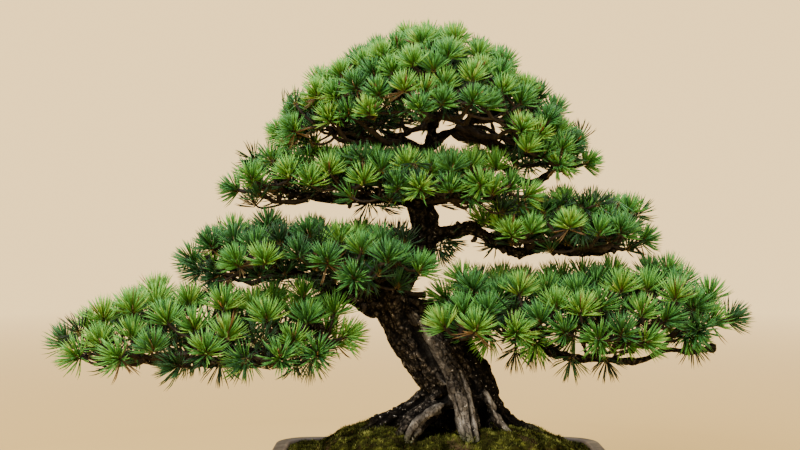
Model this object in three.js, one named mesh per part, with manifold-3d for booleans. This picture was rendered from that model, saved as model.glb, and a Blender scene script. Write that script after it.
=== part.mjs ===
// A Japanese black pine grown as a bonsai in a shallow clay pot.
// Millimetres, +Z up, +X to the right and +Y away from someone who faces its front.
import * as THREE from 'three';
import Module from 'manifold-3d';

const wasm = await Module();
wasm.setup();

const V = (x, y, z) => new THREE.Vector3(x, y, z);
const UP = V(0, 0, 1);
const TURN = 2 * Math.PI;
const DEGREE = Math.PI / 180;

// Gap between two pieces that touch.
const GAP = 0.3;
const SEED = 5;

// The origin lies on the ground under the middle of the whole, and the pot's middle this far to its right.
const POT_OFFSET = 70;

// Pot: a rounded rectangle, with a turned-out lip and four feet. The lip's points are given as how far
// they lie in from its outer edge and down from the top.
const POT = {
  width: 552,
  depth: 380,
  corner: 52,
  height: 95,
  lipOver: 8,
  lipHeight: 15,
  lip: [[1.5, 13], [0, 10], [0, 2], [2, 0], [19, 0]],
  innerEdge: 5,
  baseWidth: 486,
  baseDepth: 318,
  wall: 14,
  floor: 13,
  footHeight: 11,
  footWidth: 92,
  footDepth: 40,
  footCorner: 12,
  footTaper: 4,
  footInset: 12,
  holeRadius: 17,
  holeSides: 14,
  holeOffset: 120,
  cornerSteps: 3,
};
const MESH_SQUARE = { side: 46, thickness: 1.5, corner: 0.5, cells: 2, bar: 4 };

// Soil: its height at the wall and on its crown, and its rise from share to share of the pot's width.
const SOIL = {
  wallHeight: 86,
  crownHeight: 146,
  crownX: 10,
  rounding: 30,
  lump: 1.5,
  mound: [[0.88, 0.26], [0.78, 0.42], [0.65, 0.61], [0.49, 0.85], [0.2, 1]],
};

// Strands of wood, each a list of [x, y, z, radius]. The trunk is several strands grown together.
const TRUNK_SIDES = 12;
const TRUNK = [
  [38, 2, 62, 56], [38, 2, 118, 60], [35, 2, 160, 56], [27, 0, 205, 49], [-8, 0, 250, 48],
  [-44, 0, 295, 44], [-66, 0, 330, 37], [-72, 0, 362, 34], [-60, 0, 395, 30], [-32, 0, 428, 25],
  [-21, 0, 460, 23], [-31, 0, 495, 20], [-36, 0, 530, 17], [-27, 0, 562, 15], [-20, 0, 592, 12],
];
const LEADER = [[-20, 0, 585, 12], [-12, 4, 630, 10], [-22, 2, 680, 7], [-14, 0, 728, 4.5]];
const TRUNK_ROUGH = 0.06;
const BUTTRESS_SIDES = 8;
const BUTTRESSES = [
  // the pale flute that runs down the front into the centre root
  [[-36, -22, 308, 20], [-2, -34, 254, 25], [26, -48, 202, 23], [38, -64, 160, 18], [45, -82, 130, 15],
    [50, -92, 100, 12]],
  // the rugged mass on the right and its root
  [[-4, 8, 306, 26], [28, 8, 264, 30], [48, 8, 234, 32], [62, 5, 206, 32], [70, 5, 178, 30],
    [90, 5, 157, 24], [122, 5, 141, 17], [152, 5, 130, 12], [178, 8, 110, 7]],
  // roots on the left, from the outermost to the front
  [[-2, 0, 206, 20], [-38, -8, 171, 19], [-70, -14, 157, 17], [-98, -18, 146, 14], [-118, -18, 133, 12],
    [-134, -18, 108, 9]],
  [[14, -28, 202, 18], [-14, -46, 182, 15], [-42, -60, 165, 12], [-62, -70, 146, 10], [-73, -78, 108, 8]],
  [[20, -38, 180, 15], [-6, -60, 170, 12], [-29, -76, 158, 11], [-45, -86, 142, 9], [-54, -92, 104, 7]],
  [[60, -34, 200, 14], [79, -46, 177, 10], [91, -54, 157, 8], [110, -62, 139, 7], [130, -70, 104, 6]],
  // roots at the back
  [[20, 28, 195, 26], [-10, 66, 162, 20], [-32, 102, 140, 14], [-44, 130, 108, 8]],
  [[50, 28, 190, 24], [72, 72, 158, 18], [88, 108, 136, 12], [96, 134, 106, 7]],
];

// Limbs by the pad that they carry. Their first point lies inside the wood that they spring from.
// A pad's surface is the tops of its domes: centre x, y, z, radius in x and y, height, and the share of
// that height that hangs below the centre. Needles are longest on the lowest pads.
const LIMB_SIDES = 6;
const BRANCH_SIDES = 5;
const THICK_LIMB = 12;
const PADS = {
  left_lower: {
    branchlets: 10,
    needle: 45,
    limbs: [
      [[-58, 0, 338, 29], [-104, -2, 339, 25], [-150, -6, 342, 21], [-188, -8, 335, 16],
        [-222, -6, 298, 13.5], [-250, 0, 266, 12], [-286, 5, 248, 10], [-350, 8, 244, 8], [-430, 6, 243, 6.5],
        [-510, 2, 247, 5], [-572, 0, 254, 3.5]],
      [[-286, 5, 248, 9], [-318, 40, 256, 7], [-368, 62, 262, 5], [-420, 66, 268, 3.5]],
      [[-250, 0, 268, 9], [-262, -38, 268, 7], [-306, -62, 266, 5], [-368, -64, 266, 3.5]],
      [[-200, -8, 328, 9], [-198, -34, 300, 7], [-182, -46, 282, 4]],
    ],
    domes: [
      [-532, 0, 270, 61, 60, 43, 0.5],
      [-455, -6, 272, 78, 92, 71, 0.35],
      [-352, 0, 268, 81, 107, 74, 0.35],
      [-252, -6, 268, 78, 94, 71, 0.3],
      [-184, -30, 264, 38, 56, 48, 0.25],
    ],
  },
  left_middle: {
    branchlets: 8,
    needle: 41,
    limbs: [
      [[-140, 0, 352, 16], [-176, 0, 364, 13.5], [-212, 2, 380, 11.5], [-272, 6, 394, 8.5],
        [-336, 6, 402, 6], [-378, 4, 410, 4]],
      [[-74, 0, 366, 18], [-104, -34, 374, 10], [-98, -66, 386, 7], [-84, -88, 392, 4.5]],
      [[-176, 0, 366, 10], [-176, 42, 378, 8], [-148, 78, 390, 5]],
    ],
    domes: [
      [-335, 0, 404, 52, 64, 40, 0.3],
      [-266, -8, 400, 62, 88, 53, 0.2],
      [-182, -16, 398, 62, 84, 48, 0.2],
      [-88, -84, 392, 52, 38, 49, 0.3],
      [-132, 84, 398, 74, 50, 44, 0.2],
    ],
  },
  left_upper: {
    branchlets: 8,
    needle: 38,
    limbs: [
      [[-30, 0, 506, 18], [-64, 0, 508, 12.5], [-100, 2, 511, 11], [-146, 0, 507, 9.5], [-224, 2, 509, 7],
        [-288, 0, 514, 4]],
      [[-32, -6, 505, 12], [-18, -42, 510, 8], [22, -66, 512, 6.5], [70, -66, 514, 4]],
      [[-32, 8, 510, 12], [-44, 48, 518, 8], [-52, 84, 524, 5]],
      [[-30, 0, 502, 10], [4, 4, 505, 7.5], [20, 4, 506, 5]],
    ],
    domes: [
      [-273, 0, 520, 52, 60, 42, 0.2],
      [-204, -4, 524, 60, 80, 54, 0.1],
      [-116, -10, 524, 60, 76, 41, 0.1],
      [-24, -78, 524, 70, 42, 40, 0.2],
      [82, -60, 520, 50, 46, 30, 0.2],
      [-52, 84, 528, 84, 52, 40, 0.1],
    ],
  },
  crown: {
    branchlets: 12,
    needle: 34,
    limbs: [
      LEADER,
      [[-26, 0, 580, 13], [-46, 0, 595, 10.5], [-66, 0, 605, 9.5], [-98, 0, 607, 8], [-142, 0, 609, 6.5],
        [-192, 0, 614, 5], [-232, 4, 619, 3]],
      [[-20, 0, 586, 12], [2, 0, 606, 9.5], [26, 0, 618, 8.5], [64, -4, 640, 6.5], [112, -4, 652, 5],
        [150, 0, 652, 3.5]],
      [[-22, 0, 566, 13], [26, -2, 565, 9.5], [60, -4, 574, 8.5], [106, 0, 556, 7], [130, 0, 541, 6],
        [180, 0, 543, 4]],
      [[-13, 2, 628, 9], [-8, -52, 650, 6.5], [-12, -96, 664, 4]],
      [[-13, 2, 632, 9], [6, 56, 652, 6.5], [0, 100, 664, 4]],
      [[-16, 2, 644, 8], [-66, -14, 676, 5.5], [-104, -14, 694, 3.5]],
      [[-18, 2, 656, 8], [36, 10, 690, 5.5], [74, 12, 702, 3.5]],
      [[-98, 0, 607, 7], [-140, 46, 618, 5], [-176, 62, 624, 3.5]],
      [[64, -4, 640, 6], [104, 52, 636, 5], [130, 72, 636, 3.5]],
    ],
    domes: [
      [-14, 0, 652, 141, 145, 110, 0.16],
      [-178, 0, 625, 76, 98, 59, 0.16],
      [117, 0, 608, 84, 102, 76, 0.16],
      [182, 0, 566, 57, 76, 46, 0.4],
    ],
  },
  right_upper: {
    branchlets: 5,
    needle: 36,
    limbs: [
      [[-22, 0, 446, 20], [6, -2, 452, 13.5], [48, -5, 456, 12], [82, -6, 440, 11], [128, -6, 424, 9.5],
        [168, -4, 430, 8], [208, 0, 424, 6.5], [258, 0, 426, 5], [310, 0, 434, 3.5]],
    ],
    domes: [
      [116, -4, 448, 56, 72, 42, 0.1],
      [206, -4, 446, 62, 88, 54, 0.1],
      [275, 0, 442, 50, 70, 50, 0.3],
    ],
  },
  right_lower: {
    branchlets: 12,
    needle: 43,
    limbs: [
      [[-52, 0, 330, 26], [-6, -8, 332, 15], [46, -14, 326, 12.5], [108, -10, 314, 11], [154, 0, 304, 10],
        [166, 0, 272, 9], [186, 0, 257, 8], [228, 0, 252, 7.5], [274, 2, 247, 6.5], [340, 4, 249, 5.5],
        [402, 4, 255, 4.5], [440, 0, 264, 3.5]],
      [[-6, -8, 332, 10], [12, -56, 322, 7], [26, -84, 318, 4]],
      [[108, -10, 314, 9], [116, 36, 316, 7], [112, 78, 318, 4]],
      [[274, 2, 247, 6], [306, 48, 258, 5], [344, 70, 266, 3.5]],
      [[228, 0, 252, 7], [248, -46, 262, 5], [286, -66, 268, 3.5]],
    ],
    domes: [
      [30, -88, 306, 38, 38, 40, 0.4],
      [92, -54, 312, 61, 70, 56, 0.5],
      [184, -12, 304, 62, 90, 57, 0.4],
      [270, -4, 306, 65, 103, 74, 0.4],
      [350, 0, 310, 62, 88, 75, 0.35],
      [408, 0, 302, 43, 58, 46, 0.3],
      [110, 88, 318, 76, 50, 50, 0.3],
    ],
  },
};

// Tufts of needles stand on the domes, this far apart, and lean between outward and upward.
const TUFT_SPACING = 50;
const DOME_POINTS = 260;
const DOME_CROWDING = 0.75;
const DOME_INSIDE = 0.8;
const UPWARD_LEAN = 0.55;
const HANGING_LEAN = 0.1;
const TUFT_TRIES = 16;
const TUFT_STRAY = 5;
const GROUP_ROUNDS = 12;

// A twig leaves its limb nearer the trunk than the branchlet that it carries, and sags.
const SPRING_BACK = 0.45;
const SPRING_FIRST = 0.3;
const TWIG = { most: 5, share: 0.8, least: 2.4, swell: 0.4, shortest: 8, wander: 3, sag: 0.06 };

// A branchlet is a shoot that forks into up to seven shoots, each with a bud at its end.
const SHOOT_RADIUS = 2.1;
const SHOOT_LENGTH = 14;
const FORK_DEPTH = 24;
const FORK = [
  { along: -4.5, radius: 2.3, turn: 0 },
  { along: 0, radius: 3.3, turn: 60 },
  { along: 4.2, radius: 2.5, turn: 120 },
];
const FORK_TIP = 6.5;
const FORK_REACH = 10;
const SHARPEST_BEND = 50;
const SHARPEST_FORK = 38;
const TURNED_AWAY = 0.3;
const TURNED_COST = 30;

// Needles rise from the faces of a bud, by degrees from square to it, and wander where there is no room.
const BUD = [
  { along: 0, radius: 1.9, turn: 0 },
  { along: 4, radius: 2.2, turn: 60, rise: [6, 22] },
  { along: 8, radius: 1.9, turn: 120, rise: [38, 52] },
];
const BUD_TIP = { along: 11, radius: 0.6, rise: 74 };
const NEEDLE = {
  shorter: 0.12, footRadius: 1.7, footShare: 0.12, tipRadius: 0.15,
  tries: 7, wander: 6, wanderMore: 2, riseShare: 0.7,
};

// The same stream of numbers in [0, 1) on every run.
function seeded(seed) {
  let state = seed >>> 0;
  return () => {
    state = (state + 0x6d2b79f5) >>> 0;
    let mix = Math.imul(state ^ (state >>> 15), state | 1);
    mix ^= mix + Math.imul(mix ^ (mix >>> 7), mix | 61);
    return ((mix ^ (mix >>> 14)) >>> 0) / 4294967296;
  };
}
const random = seeded(SEED);
const spread = (amount) => (2 * random() - 1) * amount;

// A closed triangle mesh as a solid that can be joined and cut.
function solid(points, triangles) {
  const vertProperties = new Float32Array(points.flatMap((p) => [p.x, p.y, p.z]));
  const triVerts = new Uint32Array(triangles.flat());
  return new wasm.Manifold(new wasm.Mesh({ numProp: 3, vertProperties, triVerts }));
}

function meshOf(name, body, material) {
  const { vertProperties, triVerts } = body.getMesh();
  const geometry = new THREE.BufferGeometry();
  geometry.setAttribute('position', new THREE.BufferAttribute(new Float32Array(vertProperties), 3));
  geometry.setIndex(new THREE.BufferAttribute(new Uint32Array(triVerts), 1));
  geometry.computeVertexNormals();
  const mesh = new THREE.Mesh(geometry, material);
  mesh.name = name;
  return mesh;
}

// Rings of points joined into a skin, with a flat cap at each end.
function loft(rings) {
  const sides = rings[0].length;
  const triangles = [];
  for (let i = 0; i + 1 < rings.length; i += 1) {
    for (let j = 0; j < sides; j += 1) {
      const k = (j + 1) % sides;
      triangles.push([i * sides + j, i * sides + k, (i + 1) * sides + k]);
      triangles.push([i * sides + j, (i + 1) * sides + k, (i + 1) * sides + j]);
    }
  }
  const last = (rings.length - 1) * sides;
  for (let j = 1; j + 1 < sides; j += 1) {
    triangles.push([0, j + 1, j]);
    triangles.push([last, last + j, last + j + 1]);
  }
  return solid(rings.flat(), triangles);
}

// Two directions square to a third, the first as near as can be to a wished one.
function crossFrame(along, wished) {
  const side = wished.clone().addScaledVector(along, -wished.dot(along));
  if (side.lengthSq() < 1e-6) {
    side.set(1, 0, 0).addScaledVector(along, -along.x);
  }
  side.normalize();
  return [side, along.clone().cross(side)];
}

function ringAt(centre, side, over, radius, sides, turn = 0, reach = () => 1) {
  const ring = [];
  for (let j = 0; j < sides; j += 1) {
    const angle = (j / sides) * TURN + turn;
    const out = radius * reach();
    ring.push(centre.clone()
      .addScaledVector(side, out * Math.cos(angle))
      .addScaledVector(over, out * Math.sin(angle)));
  }
  return ring;
}

// A tapered strand through points [x, y, z, radius]. grow makes it that much larger all round.
function strand(points, sides, { rough = 0, grow = 0 } = {}) {
  const centres = points.map(([x, y, z]) => V(x, y, z));
  const last = centres.length - 1;
  const bark = seeded(Math.round(points[0][0] * 31 + points[last][0] * 17 + points[last][1] * 7));
  let wished = V(0.3, 1, 0.1);
  const rings = points.map(([, , , radius], i) => {
    const along = centres[Math.min(i + 1, last)].clone().sub(centres[Math.max(i - 1, 0)]).normalize();
    const [side, over] = crossFrame(along, wished);
    wished = side;
    const stretch = i === 0 ? -grow : grow * (i === last);
    const centre = centres[i].clone().addScaledVector(along, stretch);
    return ringAt(centre, side, over, radius + grow, sides, 0, () => 1 + rough * (2 * bark() - 1));
  });
  return loft(rings);
}

// Nearest points of two segments, as how far along each they lie.
function nearest(a0, a1, b0, b1) {
  const u = a1.clone().sub(a0);
  const v = b1.clone().sub(b0);
  const w = a0.clone().sub(b0);
  const uu = u.dot(u);
  const uv = u.dot(v);
  const vv = v.dot(v);
  const uw = u.dot(w);
  const vw = v.dot(w);
  const flat = uu * vv - uv * uv;
  let s = flat > 1e-9 ? THREE.MathUtils.clamp((uv * vw - vv * uw) / flat, 0, 1) : 0;
  let t = (uv * s + vw) / vv;
  if (t < 0 || t > 1) {
    t = THREE.MathUtils.clamp(t, 0, 1);
    s = THREE.MathUtils.clamp((uv * t - uw) / uu, 0, 1);
  }
  return [s, t];
}

// Remembers the cones that are placed, and says whether a new one is clear of them.
class Room {
  constructor(cell) {
    this.cell = cell;
    this.cells = new Map();
  }

  * keys(a, b, margin) {
    const low = a.clone().min(b).subScalar(margin).divideScalar(this.cell).floor();
    const high = a.clone().max(b).addScalar(margin).divideScalar(this.cell).floor();
    for (let x = low.x; x <= high.x; x += 1) {
      for (let y = low.y; y <= high.y; y += 1) {
        for (let z = low.z; z <= high.z; z += 1) {
          yield `${x},${y},${z}`;
        }
      }
    }
  }

  add(cone) {
    for (const key of this.keys(cone.a, cone.b, Math.max(cone.ra, cone.rb))) {
      if (!this.cells.has(key)) {
        this.cells.set(key, []);
      }
      this.cells.get(key).push(cone);
    }
  }

  clear(cone, skip = () => false) {
    for (const key of this.keys(cone.a, cone.b, Math.max(cone.ra, cone.rb) + 1)) {
      for (const other of this.cells.get(key) ?? []) {
        if (skip(other)) {
          continue;
        }
        const [s, t] = nearest(cone.a, cone.b, other.a, other.b);
        const p = cone.a.clone().lerp(cone.b, s);
        const q = other.a.clone().lerp(other.b, t);
        const ownRadius = THREE.MathUtils.lerp(cone.ra, cone.rb, s);
        const otherRadius = THREE.MathUtils.lerp(other.ra, other.rb, t);
        if (p.distanceTo(q) < ownRadius + otherRadius + GAP) {
          return false;
        }
      }
    }
    return true;
  }
}
const room = new Room(40);

function addStrand(points) {
  for (let i = 0; i + 1 < points.length; i += 1) {
    const [x0, y0, z0, ra] = points[i];
    const [x1, y1, z1, rb] = points[i + 1];
    room.add({ a: V(x0, y0, z0), b: V(x1, y1, z1), ra, rb });
  }
}

// Points spread evenly over a pad's domes, leaving out what lies inside another dome.
function padPoints(domes) {
  const inside = (p, [cx, cy, cz, rx, ry, h]) => {
    const rise = p.z - cz;
    const across = ((p.x - cx) / rx) ** 2 + ((p.y - cy) / ry) ** 2;
    return across + (rise / h) ** 2 < DOME_INSIDE;
  };
  const points = [];
  for (const dome of domes) {
    const [cx, cy, cz, rx, ry, h, drop] = dome;
    for (let i = 0; i < DOME_POINTS; i += 1) {
      const share = (i + 0.5) / DOME_POINTS;
      const height = (1 - share) ** DOME_CROWDING * (1 + drop) - drop;
      const out = Math.sqrt(1 - height * height);
      const angle = i * Math.PI * (3 - Math.sqrt(5));
      const place = V(cx + rx * out * Math.cos(angle), cy + ry * out * Math.sin(angle), cz + h * height);
      if (domes.some((other) => other !== dome && inside(place, other))) {
        continue;
      }
      const lean = V((place.x - cx) / rx ** 2, (place.y - cy) / ry ** 2, (place.z - cz) / h ** 2);
      lean.normalize().addScaledVector(UP, height > 0 ? UPWARD_LEAN : HANGING_LEAN).normalize();
      points.push({ place, lean });
    }
  }
  return points;
}

// Picks points one by one, each the farthest from those before, until they stand a spacing apart.
function evenly(points, spacing) {
  const chosen = [];
  const apart = points.map((p) => Math.abs(p.place.x) + 1000);
  for (;;) {
    const next = apart.indexOf(Math.max(...apart));
    if (apart[next] < spacing) {
      return chosen;
    }
    const pick = points[next];
    chosen.push(pick);
    points.forEach((p, i) => {
      apart[i] = Math.min(apart[i], p.place.distanceTo(pick.place));
    });
  }
}

// Shares points out among a number of groups of near neighbours.
function groups(points, count) {
  const apart = points.map(() => 1e6);
  let centres = [];
  for (let i = 0; i < count; i += 1) {
    const next = i === 0 ? 0 : apart.indexOf(Math.max(...apart));
    centres.push(points[next].place.clone());
    points.forEach((p, k) => {
      apart[k] = Math.min(apart[k], p.place.distanceTo(centres[i]));
    });
  }
  let sets = [];
  for (let round = 0; round < GROUP_ROUNDS; round += 1) {
    sets = centres.map(() => []);
    for (const point of points) {
      const far = centres.map((centre) => centre.distanceTo(point.place));
      sets[far.indexOf(Math.min(...far))].push(point);
    }
    centres = sets.map((set, i) => {
      const middle = V(0, 0, 0);
      set.forEach((point) => middle.addScaledVector(point.place, 1 / set.length));
      return set.length > 0 ? middle : centres[i];
    });
  }
  return sets.filter((set) => set.length > 0);
}

// Where on a pad's limbs a twig to this point springs from: nearer the trunk than the nearest point.
function springPoint(limbs, target) {
  let best = { far: Infinity };
  for (const limb of limbs) {
    let along = 0;
    for (let i = 0; i + 1 < limb.length; i += 1) {
      const a = V(...limb[i].slice(0, 3));
      const b = V(...limb[i + 1].slice(0, 3));
      const length = a.distanceTo(b);
      const t = THREE.MathUtils.clamp(target.clone().sub(a).dot(b.clone().sub(a)) / length ** 2, 0, 1);
      const far = a.clone().lerp(b, t).distanceTo(target);
      if (far < best.far) {
        best = { far, limb, along: along + t * length };
      }
      along += length;
    }
  }
  let left = Math.max(best.along - SPRING_BACK * best.far, SPRING_FIRST * best.along);
  for (let i = 0; i + 1 < best.limb.length; i += 1) {
    const a = V(...best.limb[i].slice(0, 3));
    const b = V(...best.limb[i + 1].slice(0, 3));
    const length = a.distanceTo(b);
    if (left <= length || i + 2 === best.limb.length) {
      const t = Math.min(left / length, 1);
      return { place: a.lerp(b, t), radius: THREE.MathUtils.lerp(best.limb[i][3], best.limb[i + 1][3], t) };
    }
    left -= length;
  }
  return null;
}

// A twig from its limb to the foot of a branchlet, and the branchlet's fork beyond it.
function planBranchlet(name, tufts, limbs) {
  const middle = V(0, 0, 0);
  const lean = V(0, 0, 0);
  for (const tuft of tufts) {
    middle.addScaledVector(tuft.place, 1 / tufts.length);
    lean.add(tuft.lean);
  }
  lean.normalize();
  const fork = middle.clone().addScaledVector(lean, -FORK_DEPTH);
  const spring = springPoint(limbs, fork);
  const along = fork.clone().sub(spring.place);
  const shortest = spring.radius + SHOOT_LENGTH + TWIG.shortest;
  if (along.length() < shortest) {
    along.copy(lean).multiplyScalar(shortest);
    fork.copy(spring.place).add(along);
  }
  along.normalize();
  const foot = fork.clone().addScaledVector(along, -SHOOT_LENGTH);
  const sag = TWIG.sag * foot.distanceTo(spring.place);
  const bend = spring.place.clone().lerp(foot, 0.5).add(V(spread(TWIG.wander), spread(TWIG.wander), -sag));
  const start = Math.min(spring.radius * TWIG.share, TWIG.most);
  const twig = [
    [...spring.place, start],
    [...bend, (start + SHOOT_RADIUS) / 2 + TWIG.swell],
    [...foot, TWIG.least],
  ];
  const aim = foot.clone().sub(bend).normalize();
  for (const tuft of tufts) {
    tuft.lean = within(tuft.lean, tuft.place.clone().sub(fork).normalize(), SHARPEST_BEND);
  }
  const facing = within(middle.sub(fork).normalize(), aim, SHARPEST_FORK);
  return { name, tufts, fork, foot, aim, facing, twig };
}

// A direction turned toward another until it is no more than so many degrees from it.
function within(direction, other, most) {
  if (direction.angleTo(other) <= most * DEGREE) {
    return direction.clone();
  }
  const [side] = crossFrame(other, direction);
  const angle = most * DEGREE;
  return other.clone().multiplyScalar(Math.cos(angle)).addScaledVector(side, Math.sin(angle));
}

const tuftCones = (plan, tuft) => [
  {
    a: plan.fork.clone().lerp(tuft.place, Math.min(FORK_REACH / plan.fork.distanceTo(tuft.place), 0.5)),
    b: tuft.place,
    ra: SHOOT_RADIUS,
    rb: SHOOT_RADIUS,
    tuft,
  },
  {
    a: tuft.place,
    b: tuft.place.clone().addScaledVector(tuft.lean, BUD_TIP.along),
    ra: TWIG.least,
    rb: BUD_TIP.radius,
    tuft,
  },
];

// Settles where each tuft of a branchlet can stand, clear of the wood and of other branchlets.
function settle(plan) {
  const kept = [];
  for (const tuft of plan.tufts) {
    const home = tuft.place.clone();
    for (let attempt = 0; attempt < TUFT_TRIES; attempt += 1) {
      const cones = tuftCones(plan, tuft);
      if (cones.every((cone) => room.clear(cone))) {
        cones.forEach((cone) => room.add(cone));
        kept.push(tuft);
        break;
      }
      const stray = TUFT_STRAY + attempt;
      tuft.place = home.clone().add(V(spread(stray), spread(stray), spread(stray)));
    }
  }
  return { ...plan, tufts: kept };
}

// A shoot that rises from a face of the fork, with a bud whose own faces rise into needles.
function raiseTuft(skin, tuft, face) {
  const [a, b, c] = face.map((i) => skin.points[i]);
  const along = tuft.lean;
  const middle = a.clone().add(b).add(c).divideScalar(3);
  const [side, over] = crossFrame(along, a.clone().sub(middle));
  const first = skin.points.length;
  for (const { along: reach, radius, turn } of BUD) {
    const centre = tuft.place.clone().addScaledVector(along, reach);
    skin.points.push(...ringAt(centre, side, over, radius, 3, turn * DEGREE));
  }
  const tip = skin.points.push(tuft.place.clone().addScaledVector(along, BUD_TIP.along)) - 1;
  const last = first + 3 * (BUD.length - 1);
  for (let j = 0; j < 3; j += 1) {
    const k = (j + 1) % 3;
    skin.triangles.push([face[j], face[k], first + k], [face[j], first + k, first + j]);
    for (let ring = 1; ring < BUD.length; ring += 1) {
      const low = first + 3 * (ring - 1);
      const high = low + 3;
      raiseNeedle(skin, tuft, [low + j, low + k, high + j], BUD[ring].rise[0]);
      raiseNeedle(skin, tuft, [low + k, high + k, high + j], BUD[ring].rise[1]);
    }
    raiseNeedle(skin, tuft, [last + j, last + k, tip], BUD_TIP.rise);
  }
}

// Raises a face of a bud into a needle, or leaves it flat where there is no room.
function raiseNeedle(skin, tuft, corners, rise) {
  const [a, b, c] = corners;
  const middle = skin.points[a].clone().add(skin.points[b]).add(skin.points[c]).divideScalar(3);
  const out = middle.clone().sub(tuft.place);
  out.addScaledVector(tuft.lean, -out.dot(tuft.lean)).normalize();
  const needle = needleTip(tuft, middle, out, rise);
  if (needle === null) {
    skin.triangles.push(corners);
    return;
  }
  const top = skin.points.push(needle) - 1;
  skin.triangles.push([a, b, top], [b, c, top], [c, a, top]);
}

// The tip of a needle that is clear of everything placed so far, or null if there is no room.
function needleTip(tuft, foot, out, rise) {
  const along = tuft.lean;
  const [, across] = crossFrame(along, out);
  for (let attempt = 0; attempt < NEEDLE.tries; attempt += 1) {
    const wander = NEEDLE.wander + NEEDLE.wanderMore * attempt;
    const up = (rise + spread(wander * NEEDLE.riseShare)) * DEGREE;
    const around = spread(wander) * DEGREE;
    const length = tuft.needle * (1 - NEEDLE.shorter * random());
    const tip = foot.clone()
      .addScaledVector(out, length * Math.cos(up) * Math.cos(around))
      .addScaledVector(across, length * Math.cos(up) * Math.sin(around))
      .addScaledVector(along, length * Math.sin(up));
    const away = foot.clone().lerp(tip, NEEDLE.footShare);
    const cone = { a: away, b: tip, ra: NEEDLE.footRadius, rb: NEEDLE.tipRadius, tuft, needle: true };
    if (room.clear(cone, (other) => other.tuft === tuft && !other.needle)) {
      room.add(cone);
      return tip;
    }
  }
  return null;
}

// A branchlet as one skin: a shoot with a faceted fork, and a tuft on each shoot that rises from it.
function branchletBody(plan) {
  const along = plan.facing;
  const [side, over] = crossFrame(along, V(0.2, 0.5, 1));
  const [footSide, footOver] = crossFrame(plan.aim, side);
  const foot = ringAt(plan.foot.clone().addScaledVector(plan.aim, GAP), footSide, footOver, SHOOT_RADIUS, 3);
  const rings = FORK.map(({ along: reach, radius, turn }) => (
    ringAt(plan.fork.clone().addScaledVector(along, reach), side, over, radius, 3, turn * DEGREE)));
  const points = [foot, ...rings].flat();
  const skin = { points, triangles: [[0, 2, 1]] };
  const tip = points.push(plan.fork.clone().addScaledVector(along, FORK_TIP)) - 1;
  const faces = [];
  for (let j = 0; j < 3; j += 1) {
    const k = (j + 1) % 3;
    skin.triangles.push([j, k, 3 + k], [j, 3 + k, 3 + j]);
    for (let ring = 1; ring < FORK.length; ring += 1) {
      const low = 3 * ring;
      const high = low + 3;
      faces.push([low + j, low + k, high + j], [low + k, high + k, high + j]);
    }
    faces.push([3 * FORK.length + j, 3 * FORK.length + k, tip]);
  }
  const order = matchFaces(points, plan.tufts, faces);
  order.forEach((face, i) => {
    if (i < plan.tufts.length) {
      raiseTuft(skin, plan.tufts[i], face);
    } else {
      skin.triangles.push(face);
    }
  });
  return solid(skin.points, skin.triangles);
}

// Reorders faces so that those of the tufts come first, with the shortest shoots, which then never cross.
function matchFaces(points, tufts, faces) {
  const sides = faces.map((face) => {
    const [a, b, c] = face.map((i) => points[i]);
    const outward = b.clone().sub(a).cross(c.clone().sub(a)).normalize();
    return { front: a.clone().add(b).add(c).divideScalar(3).addScaledVector(outward, FORK_REACH), outward };
  });
  const order = faces.map((face, i) => i);
  const cost = (i, k) => {
    if (i >= tufts.length) {
      return 0;
    }
    const shoot = tufts[i].place.clone().sub(sides[k].front);
    const turned = Math.max(0, TURNED_AWAY - sides[k].outward.dot(tufts[i].lean));
    return shoot.length() + TURNED_COST * turned;
  };
  let changed = true;
  while (changed) {
    changed = false;
    for (let i = 0; i < tufts.length; i += 1) {
      for (let j = i + 1; j < order.length; j += 1) {
        const now = cost(i, order[i]) + cost(j, order[j]);
        const swapped = cost(i, order[j]) + cost(j, order[i]);
        if (swapped < now - 1e-6) {
          [order[i], order[j]] = [order[j], order[i]];
          changed = true;
        }
      }
    }
  }
  return order.map((k) => faces[k]);
}

// A level rounded rectangle, counter-clockwise from above.
function roundedRing(width, depth, corner, z, steps, [cx, cy] = [0, 0]) {
  const ring = [];
  for (let quarter = 0; quarter < 4; quarter += 1) {
    const signX = quarter === 0 || quarter === 3 ? 1 : -1;
    const signY = quarter < 2 ? 1 : -1;
    for (let i = 0; i <= steps; i += 1) {
      const angle = (quarter + i / steps) * (TURN / 4);
      ring.push(V(
        cx + signX * (width / 2 - corner) + corner * Math.cos(angle),
        cy + signY * (depth / 2 - corner) + corner * Math.sin(angle),
        z,
      ));
    }
  }
  return ring;
}

// A ring of the pot at a height, as wide as the body there, inset by so much.
function potRing(z, inset) {
  const rise = (z - POT.footHeight) / (POT.height - POT.footHeight);
  const swell = rise ** 0.8;
  const width = THREE.MathUtils.lerp(POT.baseWidth, POT.width - 2 * POT.lipOver, swell);
  const depth = THREE.MathUtils.lerp(POT.baseDepth, POT.depth - 2 * POT.lipOver, swell);
  return roundedRing(width - 2 * inset, depth - 2 * inset, POT.corner - inset, z, POT.cornerSteps);
}

const POT_FLOOR = POT.footHeight + POT.floor;

// A ring on the pot's inner wall, which is straight from the floor to below the lip, inset by so much.
function wallRing(z, inset) {
  const low = potRing(POT_FLOOR, POT.wall + inset);
  const high = potRing(POT.height - POT.innerEdge, POT.wall + inset);
  const share = (z - low[0].z) / (high[0].z - low[0].z);
  return low.map((point, i) => point.lerp(high[i], share));
}

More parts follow.
